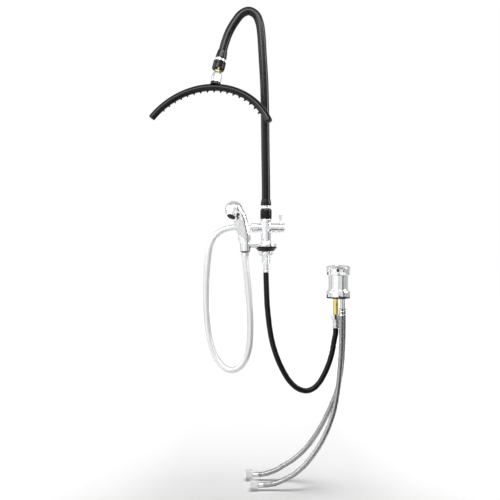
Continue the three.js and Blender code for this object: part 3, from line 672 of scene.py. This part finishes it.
def make_supply_end(side):
    at, way = SUPPLY_END[side]
    turn = Vector((0, 0, 1)).rotation_difference(Vector(way))
    place = Matrix.Translation(Vector(at) / MM) @ turn.to_matrix().to_4x4()
    ferrule = turned(f"supply_ferrule_{side}", "crimped", [
        (2.5, 0.3), (5.7, 0.3), (6.1, 0.9), (6.1, 2.8), (5.8, 3.4), (5.8, 10.2), (6.1, 10.8), (6.1, 12),
        (5, 12.6), (5, 18), (8.8, 18), (8.8, 20), (2.5, 20),
    ], 0.35, 64, place, flutes(3, 11, 0.12, 8))
    nut = formed(f"supply_nut_{side}", "turned", hex_nut_field(12.7, 13, 30, 9.6, 16.4, pi / 6),
                     (-13.6, -13.6, 12), (13.6, 13.6, 31), 0.55, place)
    return [ferrule, nut]


make_hand_hose()
make_link_hose()
for SIDE in ("front", "back"):
    make_supply_hose(SIDE, make_supply_end(SIDE))


# ---- column

CROSS_Z = 53.6


def make_column_body():
    def field(p):
        x, z, radial = p[:, 0], p[:, 2], off_axis(p)
        cross = np.hypot(p[:, 1], z - CROSS_Z)
        barrel, foot = disc(radial, z, 11.5, 14, 74, 0.6), disc(radial, z, 24.2, 13.5, 17.3, 1.1)
        body = melt(barrel, foot, 7)
        body = melt(body, disc(radial, z, 12.2, 65.6, 74, 0.7), 0.8)
        body = melt(body, disc(cross, x, 10.9, -17, 28, 0.6), 3.5)
        body = np.minimum(body, disc(cross, x, 8, -30, -10, 0.3))
        return carve(body, np.hypot(radial - 24.4, z - 15.9) - 0.5, 0.3)

    formed("column_body", "cast", field, (-32, -25.5, 12.5), (29.5, 25.5, 75), 0.75)


def make_deck_fittings():
    turned("cone_gasket", "lipped", [
        (10.8, 0), (17.4, 0), (18, 0.5), (20.6, 3), (20.3, 3.5), (24.2, 7.2), (24.7, 8), (24.7, 10.2),
        (24.3, 10.6), (10.8, 10.6),
    ], 0.4, 96)

    hexed = hex_nut_field(15, -9.9, -4.8, 10.8, -12, 0.2)

    def nut_field(p):
        radial = off_axis(p)
        collar = disc(radial, p[:, 2], 16.3, -6, -2.6, 0.5)
        return carve(melt(hexed(p), collar, 0.6), radial - 10.8, 0.4)

    formed("lock_nut", "flanged", nut_field, (-17.5, -17.5, -11), (17.5, 17.5, -1.8), 0.6)
    make_shank()

    turned("link_top_connector", "crimped", [
        (3.5, -48.6), (6, -48.6), (6.7, -47.9), (6.7, -45.5), (6.2, -44.8), (6.2, -41), (6.7, -40.4),
        (6.7, -37.4), (5.9, -36.6), (5.9, -34.2), (6.8, -33.4), (6.8, -30.2), (5.7, -30.2), (5.7, -16),
        (3.5, -16),
    ], 0.3)


def make_shank():
    """The shank with its real thread, which fades out at both ends and starts with a chamfer."""
    pitch, depth, crest, bore, sides = 1.81, 1.0, 10.5, 6, 64
    low, high, top = -29.9, 13.2, 23.6
    angles = np.arange(sides) * TAU / sides
    points = [(r * cos(a), r * sin(a), low) for r in (bore, 9.5) for a in angles]
    for z in np.arange(-29.6, 13.0, 0.2):
        phase = np.mod(z / pitch - angles / TAU, 1)
        fade = min(1.0, (z - low) / 1.5, high - z)
        chamfer = 0.8 * (1 - min(1.0, (z - low) / 1.2))
        radius = crest - depth * fade * (1 - 2 * np.abs(phase - 0.5)) - chamfer
        points.extend(zip(radius * np.cos(angles), radius * np.sin(angles), [z] * sides))
    for r, z in ((9, high), (9, top), (bore, top)):
        points.extend((r * cos(a), r * sin(a), z) for a in angles)
    count = len(points) // sides
    faces = []
    for k in range(count):
        faces += band(k * sides, ((k + 1) % count) * sides, sides)
    settle(add_mesh("threaded_shank_cut", points, faces), "threaded_shank")


def make_diverter():
    y = centre("diverter_knob").y
    turned("diverter_knob", "turned", [
        (0, 28.4), (10.9, 28.4), (10.9, 29.6), (10.5, 29.9), (10.5, 30.5), (10.9, 30.8), (10.9, 41.6),
        (9.6, 43.2), (6.6, 43.2), (5.8, 42.7), (0, 42.7),
    ], 0.35, 80, lying(0, y, CROSS_Z))
    x = centre("diverter_lever").x
    turned("diverter_lever", "pin", [
        (0, 59.6), (2.1, 59.6), (2.1, 64.8), (3.1, 64.8), (3.1, 66), (2.45, 66.6), (2.3, 70), (2.5, 79),
        (3.2, 83.4), (3.3, 84.6), (2.5, 86.5), (0, 86.7),
    ], 0.5, 40, upright(x, y))


def make_outlet_nut():
    turned("outlet_nut", "fluted", [
        (7.1, -35), (9.3, -35), (10.4, -34.2), (10.4, -33.2), (10.9, -32.6), (11, -21), (11, -19),
        (10.1, -17.4), (8.3, -17.4), (8.3, -31), (7.1, -31),
    ], 0.35, 108, lying(0, 0, CROSS_Z), flutes(-33, -20.5, 0.28, 18))
    turned("outlet_washer", "ring", [
        (4.6, -32.2), (7.6, -32.2), (7.6, -31.1), (4.6, -31.1),
    ], 0.3, 48, lying(0, 0, CROSS_Z))


# ---- gooseneck

GOOSE_ROUTE = [
    (0, 0, 107.3), (0, 0, 142), (-1.2, 0, 232), (-2.5, 0, 330), (-4.1, 0, 387), (-7.4, 0, 445), (-11, 0, 501),
    (-14.5, 0, 524), (-23, 0, 543.5), (-38.6, 0, 552.6), (-55.5, 0, 546.5), (-71, 0, 528), (-84.5, 0, 505),
    (-93, 0, 483), (-100.0, 0, 458.6), (-103.1, 0, 446.4),
]
BALL = Vector((-109.5, 0, 421.3))
GOOSE_END_LEAN = radians(14.3)


def make_gooseneck():
    turned("swivel_ferrule", "smooth", [
        (3.5, 50), (5.7, 50), (5.7, 74.3), (12.4, 74.3), (13.1, 75.4), (13.1, 93.6), (12.7, 95), (11.7, 97.3),
        (11, 97.5), (6, 97.5), (6, 104.9), (3.5, 104.9),
    ], 0.6)
    turned("swivel_ring", "plated", [
        (6.3, 97.8), (9.3, 97.8), (9.8, 98.4), (9.8, 100.6), (9.45, 101), (9.45, 101.6), (9.8, 102),
        (9.8, 104.4), (9.4, 104.9), (6.3, 104.9),
    ], 0.3)
    turned("lower_cuff", "moulded", [
        (3.5, 105.2), (10.8, 105.2), (11.9, 106), (12.1, 108), (11.9, 112), (11.2, 116), (10.7, 118.9),
        (10.2, 119.4), (9.9, 118.6), (9.9, 107), (3.5, 107),
    ], 0.6)
    path, marks = spline(GOOSE_ROUTE, 3)
    settle(tube("gooseneck_hose_skin", path, marks, 9.8, 48), "gooseneck_hose", "gooseneck_core")

    end = Matrix.Translation(BALL) @ Matrix.Rotation(GOOSE_END_LEAN, 4, "Y")
    turned("upper_cuff", "moulded", [
        (4, 23.3), (12.5, 23.3), (12.9, 23.8), (12.9, 25.4), (12.5, 28), (11.9, 34), (11, 40.6), (10.3, 41.5),
        (9.9, 41), (9.9, 25.5), (4, 25.5),
    ], 0.6, 72, end)
    turned("upper_ring", "plated", [
        (4, 17.3), (10.2, 17.3), (10.6, 17.8), (10.6, 22.5), (10.2, 23), (4, 23),
    ], 0.3, 72, end)
    make_ball_socket(end)


def make_ball_socket(end):
    """Black ball nut: a turned body whose lower rim is cut into four rounded fingers."""

    def field(p):
        radial, z = off_axis(p), p[:, 2]
        body = disc(radial, z, 14.6, -6.4, 17, 1.2)
        body = both(body, (radial - 14.6 + 0.62 * (-3.4 - z)) / 1.18, 1.5)
        body = both(body, (radial - 14.6 + 0.8 * (z - 14.4)) / 1.28, 0.8)
        for angle in [radians(a) for a in (-78, 12, 102, 192)]:
            side = p[:, 1] * cos(angle) - p[:, 0] * sin(angle)
            ahead = p[:, 0] * cos(angle) + p[:, 1] * sin(angle)
            slot = np.maximum(np.hypot(side, np.maximum(z + 1.5, 0)) - 3.1, 3 - ahead)
            body = carve(body, slot, 0.9)
        body = carve(body, np.hypot(radial, z) - 9.5, 0.4)
        body = carve(body, disc(radial, z, 6, 5, 20, 0.2), 0.4)
        groove = np.hypot(radial - 14.9, z - 9.5) - 0.9
        return carve(body, groove, 0.4)

    formed("ball_socket", "fingered", field, (-15.6, -15.6, -8.2), (15.6, 15.6, 18), 0.6, end)


# ---- spray arc

ARC_TURN = ((0.95137, 0.26510, 0.15692), (-0.29702, 0.92450, 0.23892), (-0.08174, -0.27391, 0.95827))
ARC = Matrix.Translation(BALL) @ Matrix(ARC_TURN).to_4x4()
ARC_R = 164.5
ARC_DROP = 49
ARC_HALF = radians(58.6)
NOZZLES = 17
NOZZLE_STEP = radians(6)


def arc_sweep(name, outline, half, steps):
    """An outline of (along Y, outwards) pairs swept along the arc, closed at both ends."""
    points, count = [], len(outline)
    for k in range(steps + 1):
        a = half * (2 * k / steps - 1)
        for y, out in outline:
            r = ARC_R + out
            points.append((r * sin(a), y, r * cos(a) - ARC_R - ARC_DROP))
    faces = [tuple(range(count)), tuple(range(steps * count, (steps + 1) * count))]
    for k in range(steps):
        faces += band(k * count, (k + 1) * count, count)
    return add_mesh(name, points, faces, ARC)


def slotted_ring(outer, inner, slot, sides=40):
    """Ring outline open towards the centre of the arc, with rounded lips."""
    out = []
    for radius, way in ((outer, 1), (inner, -1)):
        start = asin(slot / radius)
        for i in range(sides + 1):
            a = -pi / 2 + way * (start + (TAU - 2 * start) * i / sides)
            out.append((radius * cos(a), radius * sin(a)))
    return out


def make_arc():
    stem = [(2.5, 8.6)]
    for i in range(15):
        a = 1.27 - i * (1.27 + 0.95) / 14
        stem.append((9 * cos(a), 9 * sin(a), 0.01))
    stem += [(4.6, -9), (4.6, -38), (2.5, -38)]
    turned("ball_stem", "turned", stem, 0.3, 56, ARC)

    turned("bell_connector", "plated", [
        (5, -10.6), (6.2, -10.6), (8.9, -12.2), (10.9, -15), (11.7, -20), (12, -27), (12.2, -33),
        (12.2, -36.7), (11.8, -37.4), (5, -37.4),
    ], 0.8, 80, ARC)

    def saddle_field(p):
        radial, z = off_axis(p), p[:, 2]
        pad = disc(radial, z, 11.9, -44, -37.7, 0.7)
        pipe = np.hypot(np.hypot(p[:, 0], z + ARC_DROP + ARC_R) - ARC_R, p[:, 1]) - 8.35
        return carve(carve(pad, pipe, 0.5), radial - 5, 0.3)

    formed("arc_saddle", "moulded", saddle_field, (-13.1, -13.1, -45.5), (13.1, 13.1, -36.7), 0.5, ARC)

    settle(arc_sweep("arc_tube_slotted", slotted_ring(8, 6.2, 2.1), ARC_HALF, 130), "arc_tube")
    make_nozzles()

    for side, node in ((-1, "arc_cap_left"), (1, "arc_cap_right")):
        angle = side * ARC_HALF
        tip = (ARC_R * sin(angle), 0, ARC_R * (cos(angle) - 1) - ARC_DROP)
        place = ARC @ Matrix.Translation(tip) @ Matrix.Rotation(side * pi / 2 + angle, 4, "Y")
        cap = lathe(f"{node}_domed", [
            (0, -5), (5, -5), (5, 0.3), (7.6, 0.3), (7.9, 0.7), (7.8, 1.6), (7.2, 2.6), (5.6, 3.3),
            (3, 3.6), (0, 3.6),
        ], 0.4, 56, place)
        settle(cap, node)


def make_nozzles():
    """The silicone strip in the slot, and its row of tapered nozzles with a hole in each tip."""
    outline = [(-3.3, -3.4), (3.3, -3.4), (3.3, -4.6), (1.7, -4.6), (1.7, -7.6), (1.3, -8.05),
               (-1.3, -8.05), (-1.7, -7.6), (-1.7, -4.6), (-3.3, -4.6)]
    strip = arc_sweep("nozzle_strip_moulded", outline, radians(52), 120)
    profile = rounded([(0, -12), (0.5, -12), (0.6, -12.6), (1.2, -12.6), (2.2, -9.6), (3.1, -8.5),
                       (3.1, -8.1), (1.5, -8), (1.5, -6)], 0.25, 2)
    sides = 20
    ring = [(cos(i * TAU / sides), sin(i * TAU / sides)) for i in range(sides)]
    points, faces = [], []
    for n in range(NOZZLES):
        a = NOZZLE_STEP * (n - (NOZZLES - 1) / 2)
        place = Matrix.Translation((0, 0, -ARC_R - ARC_DROP)) @ Matrix.Rotation(a, 4, "Y")
        place = ARC @ place @ Matrix.Translation((0, 0, ARC_R))
        base = len(points)
        for r, z in profile:
            r = max(r, 0.02)
            points += [tuple(place @ Vector((r * c, r * s, z)) * MM) for c, s in ring]
        faces.append(tuple(base + i for i in range(sides)))
        faces.append(tuple(base + (len(profile) - 1) * sides + i for i in range(sides)))
        for k in range(len(profile) - 1):
            faces += band(base + k * sides, base + (k + 1) * sides, sides)
    merged = bmesh.new()
    merged.from_mesh(strip.data)
    added = [merged.verts.new(p) for p in points]
    for face in faces:
        merged.faces.new([added[i] for i in face]).smooth = True
    bmesh.ops.recalc_face_normals(merged, faces=merged.faces)
    merged.to_mesh(strip.data)
    merged.free()
    settle(strip, "nozzle_strip")


# ---- hand shower

CUP_X, CUP_Y = -47.6, -28
HEAD = np.array((-73, -36, 93.4))
SPRAY = np.array((-0.28, -0.5, -0.82)) / norm((-0.28, -0.5, -0.82))
GRIP = np.array([  # level rings up the grip: x, y, z, half width, half depth
    (-47.6, -28, 17, 12, 12), (-47.6, -28, 19.3, 12, 12), (-48.8, -28, 25.5, 13.8, 12.6),
    (-50, -28.4, 34.5, 14.7, 13), (-51.4, -29, 43.5, 14.9, 13.1), (-53.4, -29.6, 52.6, 15.5, 13.2),
    (-56.4, -30.6, 61.6, 16.2, 13.5), (-59.3, -32, 70.6, 16.8, 14), (-62.2, -33.6, 79.6, 17.2, 14.6),
    (-66, -35, 88.6, 17.2, 15.2), (-69.5, -35.6, 94, 16.2, 15.2),
])
PANEL = np.array([  # outline of the soft panel seen from the front, x and z
    (-80, 68), (-54, 68), (-50.4, 60), (-47.4, 51), (-45, 40), (-43.9, 32), (-44.4, 26.6), (-48.6, 26),
    (-56, 31.5), (-64, 38), (-80, 44),
])


def grip_column(column, z):
    """One column of the grip's table, smoothly interpolated at the heights z."""
    keys, values = GRIP[:, 2], GRIP[:, column]
    slopes = np.gradient(values, keys)
    z = np.clip(z, keys[0], keys[-1])
    k = np.clip(np.searchsorted(keys, z) - 1, 0, len(keys) - 2)
    gap = keys[k + 1] - keys[k]
    t = (z - keys[k]) / gap
    a, b = values[k], values[k + 1]
    return ((2 * t ** 3 - 3 * t ** 2 + 1) * a + (t ** 3 - 2 * t ** 2 + t) * gap * slopes[k]
            + (3 * t ** 2 - 2 * t ** 3) * b + (t ** 3 - t ** 2) * gap * slopes[k + 1])


def grip_field(p, inset=0.0):
    """Distance to the grip's skin, or to the same shape pulled in by the inset."""
    x, y, wide, deep = (grip_column(k, p[:, 2]) for k in (0, 1, 3, 4))
    wide, deep = wide - inset, deep - inset
    u, v = (p[:, 0] - x) / wide, (p[:, 1] - y) / deep
    level = np.hypot(u, v)
    side = (level - 1) * level / np.maximum(np.hypot(u / wide, v / deep), 1e-6)
    side = np.where(level < 0.3, -0.8 * np.minimum(wide, deep), side) * 0.95
    return both(side, np.maximum(19.3 - p[:, 2], p[:, 2] - 95), 0.8)


def panel_region(p, margin):
    """Signed distance to the panel's outline, kept to the front half of the grip."""
    q = p[:, (0, 2)]
    best, inside = np.full(len(q), 1e9), np.zeros(len(q), bool)
    for a, b in zip(PANEL, np.roll(PANEL, -1, 0)):
        edge = b - a
        t = np.clip(((q - a) @ edge) / (edge @ edge), 0, 1)
        best = np.minimum(best, norm(q - a - t[:, None] * edge, axis=1))
        crosses = (a[1] > q[:, 1]) != (b[1] > q[:, 1])
        at = a[0] + (q[:, 1] - a[1]) * edge[0] / (edge[1] if edge[1] else 1e-9)
        inside ^= crosses & (q[:, 0] < at)
    outline = np.where(inside, -best, best) - margin
    return both(outline, p[:, 1] - (CUP_Y - 1) - margin, 0.6)


def make_shower_body():
    def field(p):
        local = p - HEAD
        ahead = local @ SPRAY
        off = np.sqrt(np.maximum((local * local).sum(1) - ahead ** 2, 0))
        grip = grip_field(p)
        head = norm(local, axis=1) - 20
        snout = both(off - (15.6 - 0.19 * np.clip(ahead, 0, 20)), np.maximum(ahead - 19.6, -ahead), 1.2)
        body = melt(grip, melt(head, snout, 3), 5)
        body = carve(body, disc(off, ahead, 9.2, 17, 26, 0.3), 0.8)
        face_ring = np.hypot(off - 14.2, ahead - 9) - 0.5
        body = carve(body, face_ring, 0.4)
        pocket = np.maximum(panel_region(p, 0.25), -grip_field(p, 1.9))
        body = carve(body, pocket, 0.5)
        spigot = disc(off_axis(p, CUP_X, CUP_Y), p[:, 2], 8.6, -1.2, 24, 0.3)
        return np.minimum(body, spigot)

    formed("shower_body", "plated", field, (-95, -57, -2), (-33, -13.5, 115), 0.8)

    def panel_field(p):
        panel = both(grip_field(p), panel_region(p, 0), 1.2)
        return both(panel, -grip_field(p, 1.6), 0.3)

    formed("grip_panel", "soft", panel_field, (-75, -47, 23), (-40, -26.5, 71), 0.6)


def make_shower_trim():
    aim = Vector((0, 0, 1)).rotation_difference(Vector(SPRAY)).to_matrix().to_4x4()
    place = Matrix.Translation(Vector(HEAD)) @ aim

    def face_field(p):
        radial, z = off_axis(p), p[:, 2]
        plate = disc(radial, z, 8.8, 17.4, 19.5, 0.4)
        jets = [(0, 0)] + [(3.3 * cos(a), 3.3 * sin(a)) for a in np.arange(6) * TAU / 6]
        jets += [(6.5 * cos(a), 6.5 * sin(a)) for a in (np.arange(12) + 0.5) * TAU / 12]
        for x, y in jets:
            jet = disc(off_axis(p, x, y), z, 0.75, 18, 20.2, 0.3)
            plate = melt(plate, jet, 0.4)
        return plate

    formed("spray_face", "jets", face_field, (-9.8, -9.8, 16.6), (9.8, 9.8, 21), 0.4, place)
    cup = upright(CUP_X, CUP_Y)
    turned("shower_seal", "ring", [(4.4, -2.7), (8.2, -2.7), (8.2, -1.5), (4.4, -1.5)], 0.4, 56, cup)
    turned("shower_nut", "fluted", [
        (7.1, -10.8), (7.9, -10.8), (8.5, -9.8), (8.5, -3.8), (7.9, -3), (4.8, -3), (4.8, -8), (7.1, -8.6),
    ], 0.3, 96, cup, flutes(-9.4, -4.2, 0.22, 16))


def make_holder():
    reach = hypot(CUP_X, CUP_Y)
    turn = atan2(CUP_Y, CUP_X)

    def field(p):
        along = p[:, 0] * cos(turn) + p[:, 1] * sin(turn)
        side = p[:, 1] * cos(turn) - p[:, 0] * sin(turn)
        local = np.stack([along, side, p[:, 2]], 1)
        column = off_axis(p)
        cup = off_axis(p, CUP_X, CUP_Y)
        plate = disc(column, p[:, 2], 24, 10.9, 13.2, 0.3)
        tongue = block(local, (25, 0, 12.05), (4, 4.5, 1.15), 0.3)
        arm = block(local, ((25.5 + reach - 10.6) / 2, 0, 12.9), ((reach - 10.6 - 25.5) / 2, 4.5, 5.2), 1.2)
        wall = disc(cup, p[:, 2], 12, 0.3, 19, 0.6)
        wall = both(wall, cup - 11.2 - 0.045 * (p[:, 2] - 0.3), 0.6)
        solid = melt(np.minimum(np.minimum(plate, tongue), arm), wall, 2)
        return carve(carve(solid, cup - 10.3, 0.4), column - 10.8, 0.3)

    formed("shower_holder", "cast", field, (-61, -41.5, -1), (25.5, 25.5, 20.2), 0.7)
    turned("holder_liner", "moulded", [
        (9, -1.2), (11.2, -1.2), (11.2, 0), (10, 0), (10, 18.6), (9, 18.6),
    ], 0.25, 64, upright(CUP_X, CUP_Y))


# ---- mixer

def make_mixer_body():
    place = upright_at("mixer_gasket")
    turned("mixer_body", "turned", [
        (0, -104.6), (26.8, -104.6), (27.3, -104), (27.3, -93.4), (26.6, -91.4, 1), (24.2, -90.2, 1.5),
        (22.8, -88, 2), (22.5, -85), (22.3, -72), (22.6, -60), (22.3, -54), (21.4, -47), (19, -46), (0, -46),
    ], 0.6, 112, place)
    turned("mixer_gasket", "ring", [
        (20, -107.9), (26.6, -107.9), (27.4, -107.2), (27.4, -104.9), (20, -104.9),
    ], 0.5, 112, place)


CAP_R = 27.2
DOT_Z = -43.9
LEVER_TURN, LEVER_RISE = radians(-9), tan(radians(5))


def make_mixer_handle():
    place = upright_at("mixer_gasket") @ Matrix.Rotation(LEVER_TURN, 4, "Z")

    def field(p):
        radial, z = off_axis(p), p[:, 2]
        dome = -31.6 - 3.2 * (radial / CAP_R) ** 2
        cap = both(disc(radial, z, CAP_R, -55.2, -20, 0.5), z - dome, 2.4)
        cap = both(cap, (radial - 25.7 - 0.16 * (z + 55.2)) * 0.98, 1.5)
        ahead = -p[:, 1]
        half = np.interp(ahead, (0, 8, 57, 61), (25, 23.4, 7.4, 6.8))
        middle = -37.2 + LEVER_RISE * ahead
        flat = np.stack([np.abs(p[:, 0]) - half + 1.8, np.abs(z - middle) - 0.8, ahead - 59.2], 1)
        lever = np.minimum(flat.max(1), 0) + norm(np.maximum(flat, 0), axis=1) - 1.8
        lever = np.maximum(lever, -ahead)
        nose = np.hypot(p[:, 0], np.maximum(ahead - 54, 0)) - 7.6
        lever = both(lever, np.where(ahead > 54, nose, -5), 0.5)
        solid = melt(cap, lever, 4)
        hollow = radial - 24.8 - 0.13 * np.maximum(z + 54, 0)
        solid = carve(solid, both(disc(radial, z, 25.6, -60, -41, 1.2), hollow, 0.3), 0.4)
        dot = np.hypot(p[:, 0], z - DOT_Z)
        return carve(solid, np.maximum(dot - 3.1, np.abs(p[:, 1] + 27.2) - 1.2), 0.4)

    formed("mixer_handle", "cast", field, (-28.4, -62.5, -56.4), (28.4, 28.4, -29), 0.8, place)
    spot = place @ Matrix.Translation((0, -27.1, DOT_Z)) @ Matrix.Rotation(pi / 2, 4, "X")
    profile = [(0, -0.7), (2.8, -0.7), (2.8, 0.2), (2, 0.62), (0, 0.72)]
    turned("indicator_dot", "domed", profile, 0.2, 40, spot)


# ---- pipes under the mixer

def make_pipes():
    place = upright_at("outlet_pipe")
    turned("outlet_pipe", "drawn", [
        (4, -145.4), (5.7, -145.4), (6, -145), (6, -88), (4, -88),
    ], 0.3, 56, place)
    formed("link_nut", "turned", hex_nut_field(12.2, -157, -145.7, 6.4, -160, 0.15),
                     (-13.2, -13.2, -158), (13.2, 13.2, -144.8), 0.55, place)
    turned("link_ferrule", "crimped", [
        (3, -177.6), (7.1, -177.6), (7.7, -177), (7.7, -174.4), (7.2, -173.8), (7.2, -168.2),
        (7.7, -167.6), (7.7, -165), (7.2, -164.4), (7.2, -160.4), (7.7, -159.8), (7.7, -157.3),
        (6, -157.3), (6, -152), (3, -152),
    ], 0.3, 64, place)
    for side in ("front", "back"):
        turned(f"supply_tail_{side}", "crimped", [
            (2.5, -149), (5.4, -149), (5.9, -148.5), (5.9, -145.6), (5.55, -145), (5.55, -140.4),
            (5.9, -139.8), (5.9, -136.8), (5.55, -136.2), (5.55, -133), (5.9, -132.4), (5.9, -130.6),
            (5.2, -130), (4, -130), (4, -88), (2.5, -88),
        ], 0.25, 56, upright_at(f"supply_tail_{side}"))


make_column_body()
make_deck_fittings()
make_diverter()
make_outlet_nut()
make_gooseneck()
make_arc()
make_shower_body()
make_shower_trim()
make_holder()
make_mixer_body()
make_mixer_handle()
make_pipes()


def finish_carried_nodes():
    """The CAD nodes that stay, all inside the set, get their own finish."""
    for node, made in frame["nodes"].items():
        if made.hide_render:
            continue
        made.data.materials.clear()
        made.data.materials.append(SLOTS[SLOT_OF[node]])


finish_carried_nodes()


# ---- floor, light and reflections

FLOOR_Z = min(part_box(node)[0].z for node in frame["nodes"]) - 0.0002


WHITE = (1, 1, 1)


def glow_material(mesh, strength, colour=WHITE):
    material = bpy.data.materials.new(mesh.name)
    material.use_nodes = True
    nodes, links = material.node_tree.nodes, material.node_tree.links
    nodes.clear()
    glow, out = nodes.new("ShaderNodeEmission"), nodes.new("ShaderNodeOutputMaterial")
    glow.inputs["Color"].default_value = (*colour, 1)
    glow.inputs["Strength"].default_value = strength
    links.new(glow.outputs[0], out.inputs["Surface"])
    mesh.materials.append(material)


def square(name, corners):
    mesh = bpy.data.meshes.new(name)
    mesh.from_pydata(corners, [], [(0, 1, 2, 3)])
    return put(name, mesh)


def flat_panel(name, middle, across, up, strength, colour=WHITE):
    """A card or softbox that only shows in reflections. Its corners are middle +- across +- up."""
    middle, across, up = Vector(middle), Vector(across), Vector(up)
    corners = [middle - across - up, middle + across - up, middle + across + up, middle - across + up]
    card = square(name, [tuple(c) for c in corners])
    card.visible_camera = False
    card.visible_diffuse = False
    card.visible_shadow = False
    card.visible_transmission = False
    glow_material(card.data, strength, colour)


def standing_card(name, start, end, strength, colour=WHITE, low=-1.2, high=2.2, far=2.6):
    """A tall card between two bearings, in degrees to the right of the direction to the camera."""
    turns = (radians(start), radians(end))
    ends = [Vector((far * sin(a), -far * cos(a), 0)) for a in turns]
    middle = (ends[0] + ends[1]) / 2 + Vector((0, 0, (low + high) / 2))
    flat_panel(name, middle, (ends[1] - ends[0]) / 2, (0, 0, (high - low) / 2), strength, colour)


def make_floor():
    size = 12
    sides = ((-size, -size), (size, -size), (size, size), (-size, size))
    floor = square("floor", [(x, y, FLOOR_Z) for x, y in sides])
    s = Shader("floor", Roughness=0.8, Specular_IOR_Level=0.0)
    split = s.node("SeparateXYZ", Vector=s.places.outputs["Object"])
    # Painted light: the floor glows through its emission, more towards the back and out to the sides, so that
    # it fades into the white backdrop.
    away = s.math("POWER", s.spread(split.outputs[1], 0, 1, -0.1, 0.9), 0.7)
    aside = s.spread(s.math("ABSOLUTE", split.outputs[0]), 0, 1, 0.22, 0.56)
    mottle = s.noise(3, 2)
    s.into("Base Color", s.blend(mottle, (0.8, 0.8, 0.8), (0.81, 0.81, 0.81)))
    s.into("Emission Color", (1, 1, 1, 1))
    s.into("Emission Strength", s.math("MULTIPLY", s.math("ADD", away, aside), 0.21))
    floor.data.materials.append(s.material)


def make_dome(name, radius, strength, camera):
    """Even surroundings, seen by the camera or in reflections; the world lights the diffuse side."""
    shape = bmesh.new()
    bmesh.ops.create_uvsphere(shape, u_segments=48, v_segments=24, radius=radius)
    mesh = bpy.data.meshes.new(name)
    shape.to_mesh(mesh)
    shape.free()
    dome = put(name, mesh)
    glow_material(mesh, strength)
    dome.visible_camera = camera
    dome.visible_glossy = not camera
    dome.visible_diffuse = False
    dome.visible_shadow = False


def distant_light(name, brightness, softness, aim):
    """A far light that would make a facing white surface this bright; it isn't seen in reflections."""
    data = bpy.data.lights.new(name, "SUN")
    data.angle = radians(softness)
    data.energy = brightness * pi
    lamp = put(name, data)
    lamp.rotation_euler = tuple(radians(a) for a in aim)
    lamp.visible_glossy = False


def make_light():
    world = bpy.context.scene.world = bpy.data.worlds.new("world")
    world.use_nodes = True
    background = world.node_tree.nodes["Background"]
    background.inputs["Color"].default_value = (1, 1, 1, 1)
    background.inputs["Strength"].default_value = 0.05
    distant_light("overhead", 0.91, 36, (-2, 4, 0))
    distant_light("front_fill", 0.7, 40, (86, 0, -20))

    standing_card("card_right", 44, 58, 0.08)
    standing_card("softbox_right", 66, 92, 7.5, low=0.26)
    standing_card("card_side_right", 62, 120, 0.5, high=0.26)
    standing_card("card_front", -4, 40, 1, (0.76, 0.76, 0.765))
    standing_card("card_bright", -62, -8, 1.1)
    standing_card("softbox_left", -108, -62, 3, low=0.26)
    standing_card("card_side_left", -112, -64, 0.9, high=0.26)
    standing_card("card_low_left", -172, -124, 0.05, high=-0.27, far=2.4)
    standing_card("card_low_right", 120, 172, 0.05, high=-0.27, far=2.4)
    flat_panel("card_pipe", (0.295, -0.19, -0.34), (0.155, 0.14, 0), (0, 0, 0.21), 0.05)
    flat_panel("card_low", (0, -0.75, -0.52), (0.22, 0, 0), (0, 0.35, 0), 0.12)
    flat_panel("softbox_front_left", (-0.5, -0.9, 1.06), (0.36, 0, 0), (0, 0, 0.4), 9)
    flat_panel("softbox_front_right", (0.33, -0.9, 1.16), (0.47, 0, 0), (0, 0, 0.3), 9)


make_floor()
make_dome("backdrop", 7, 1.0, True)
make_dome("room", 6, 0.66, False)
make_light()
bpy.context.scene.view_settings.view_transform = "Standard"
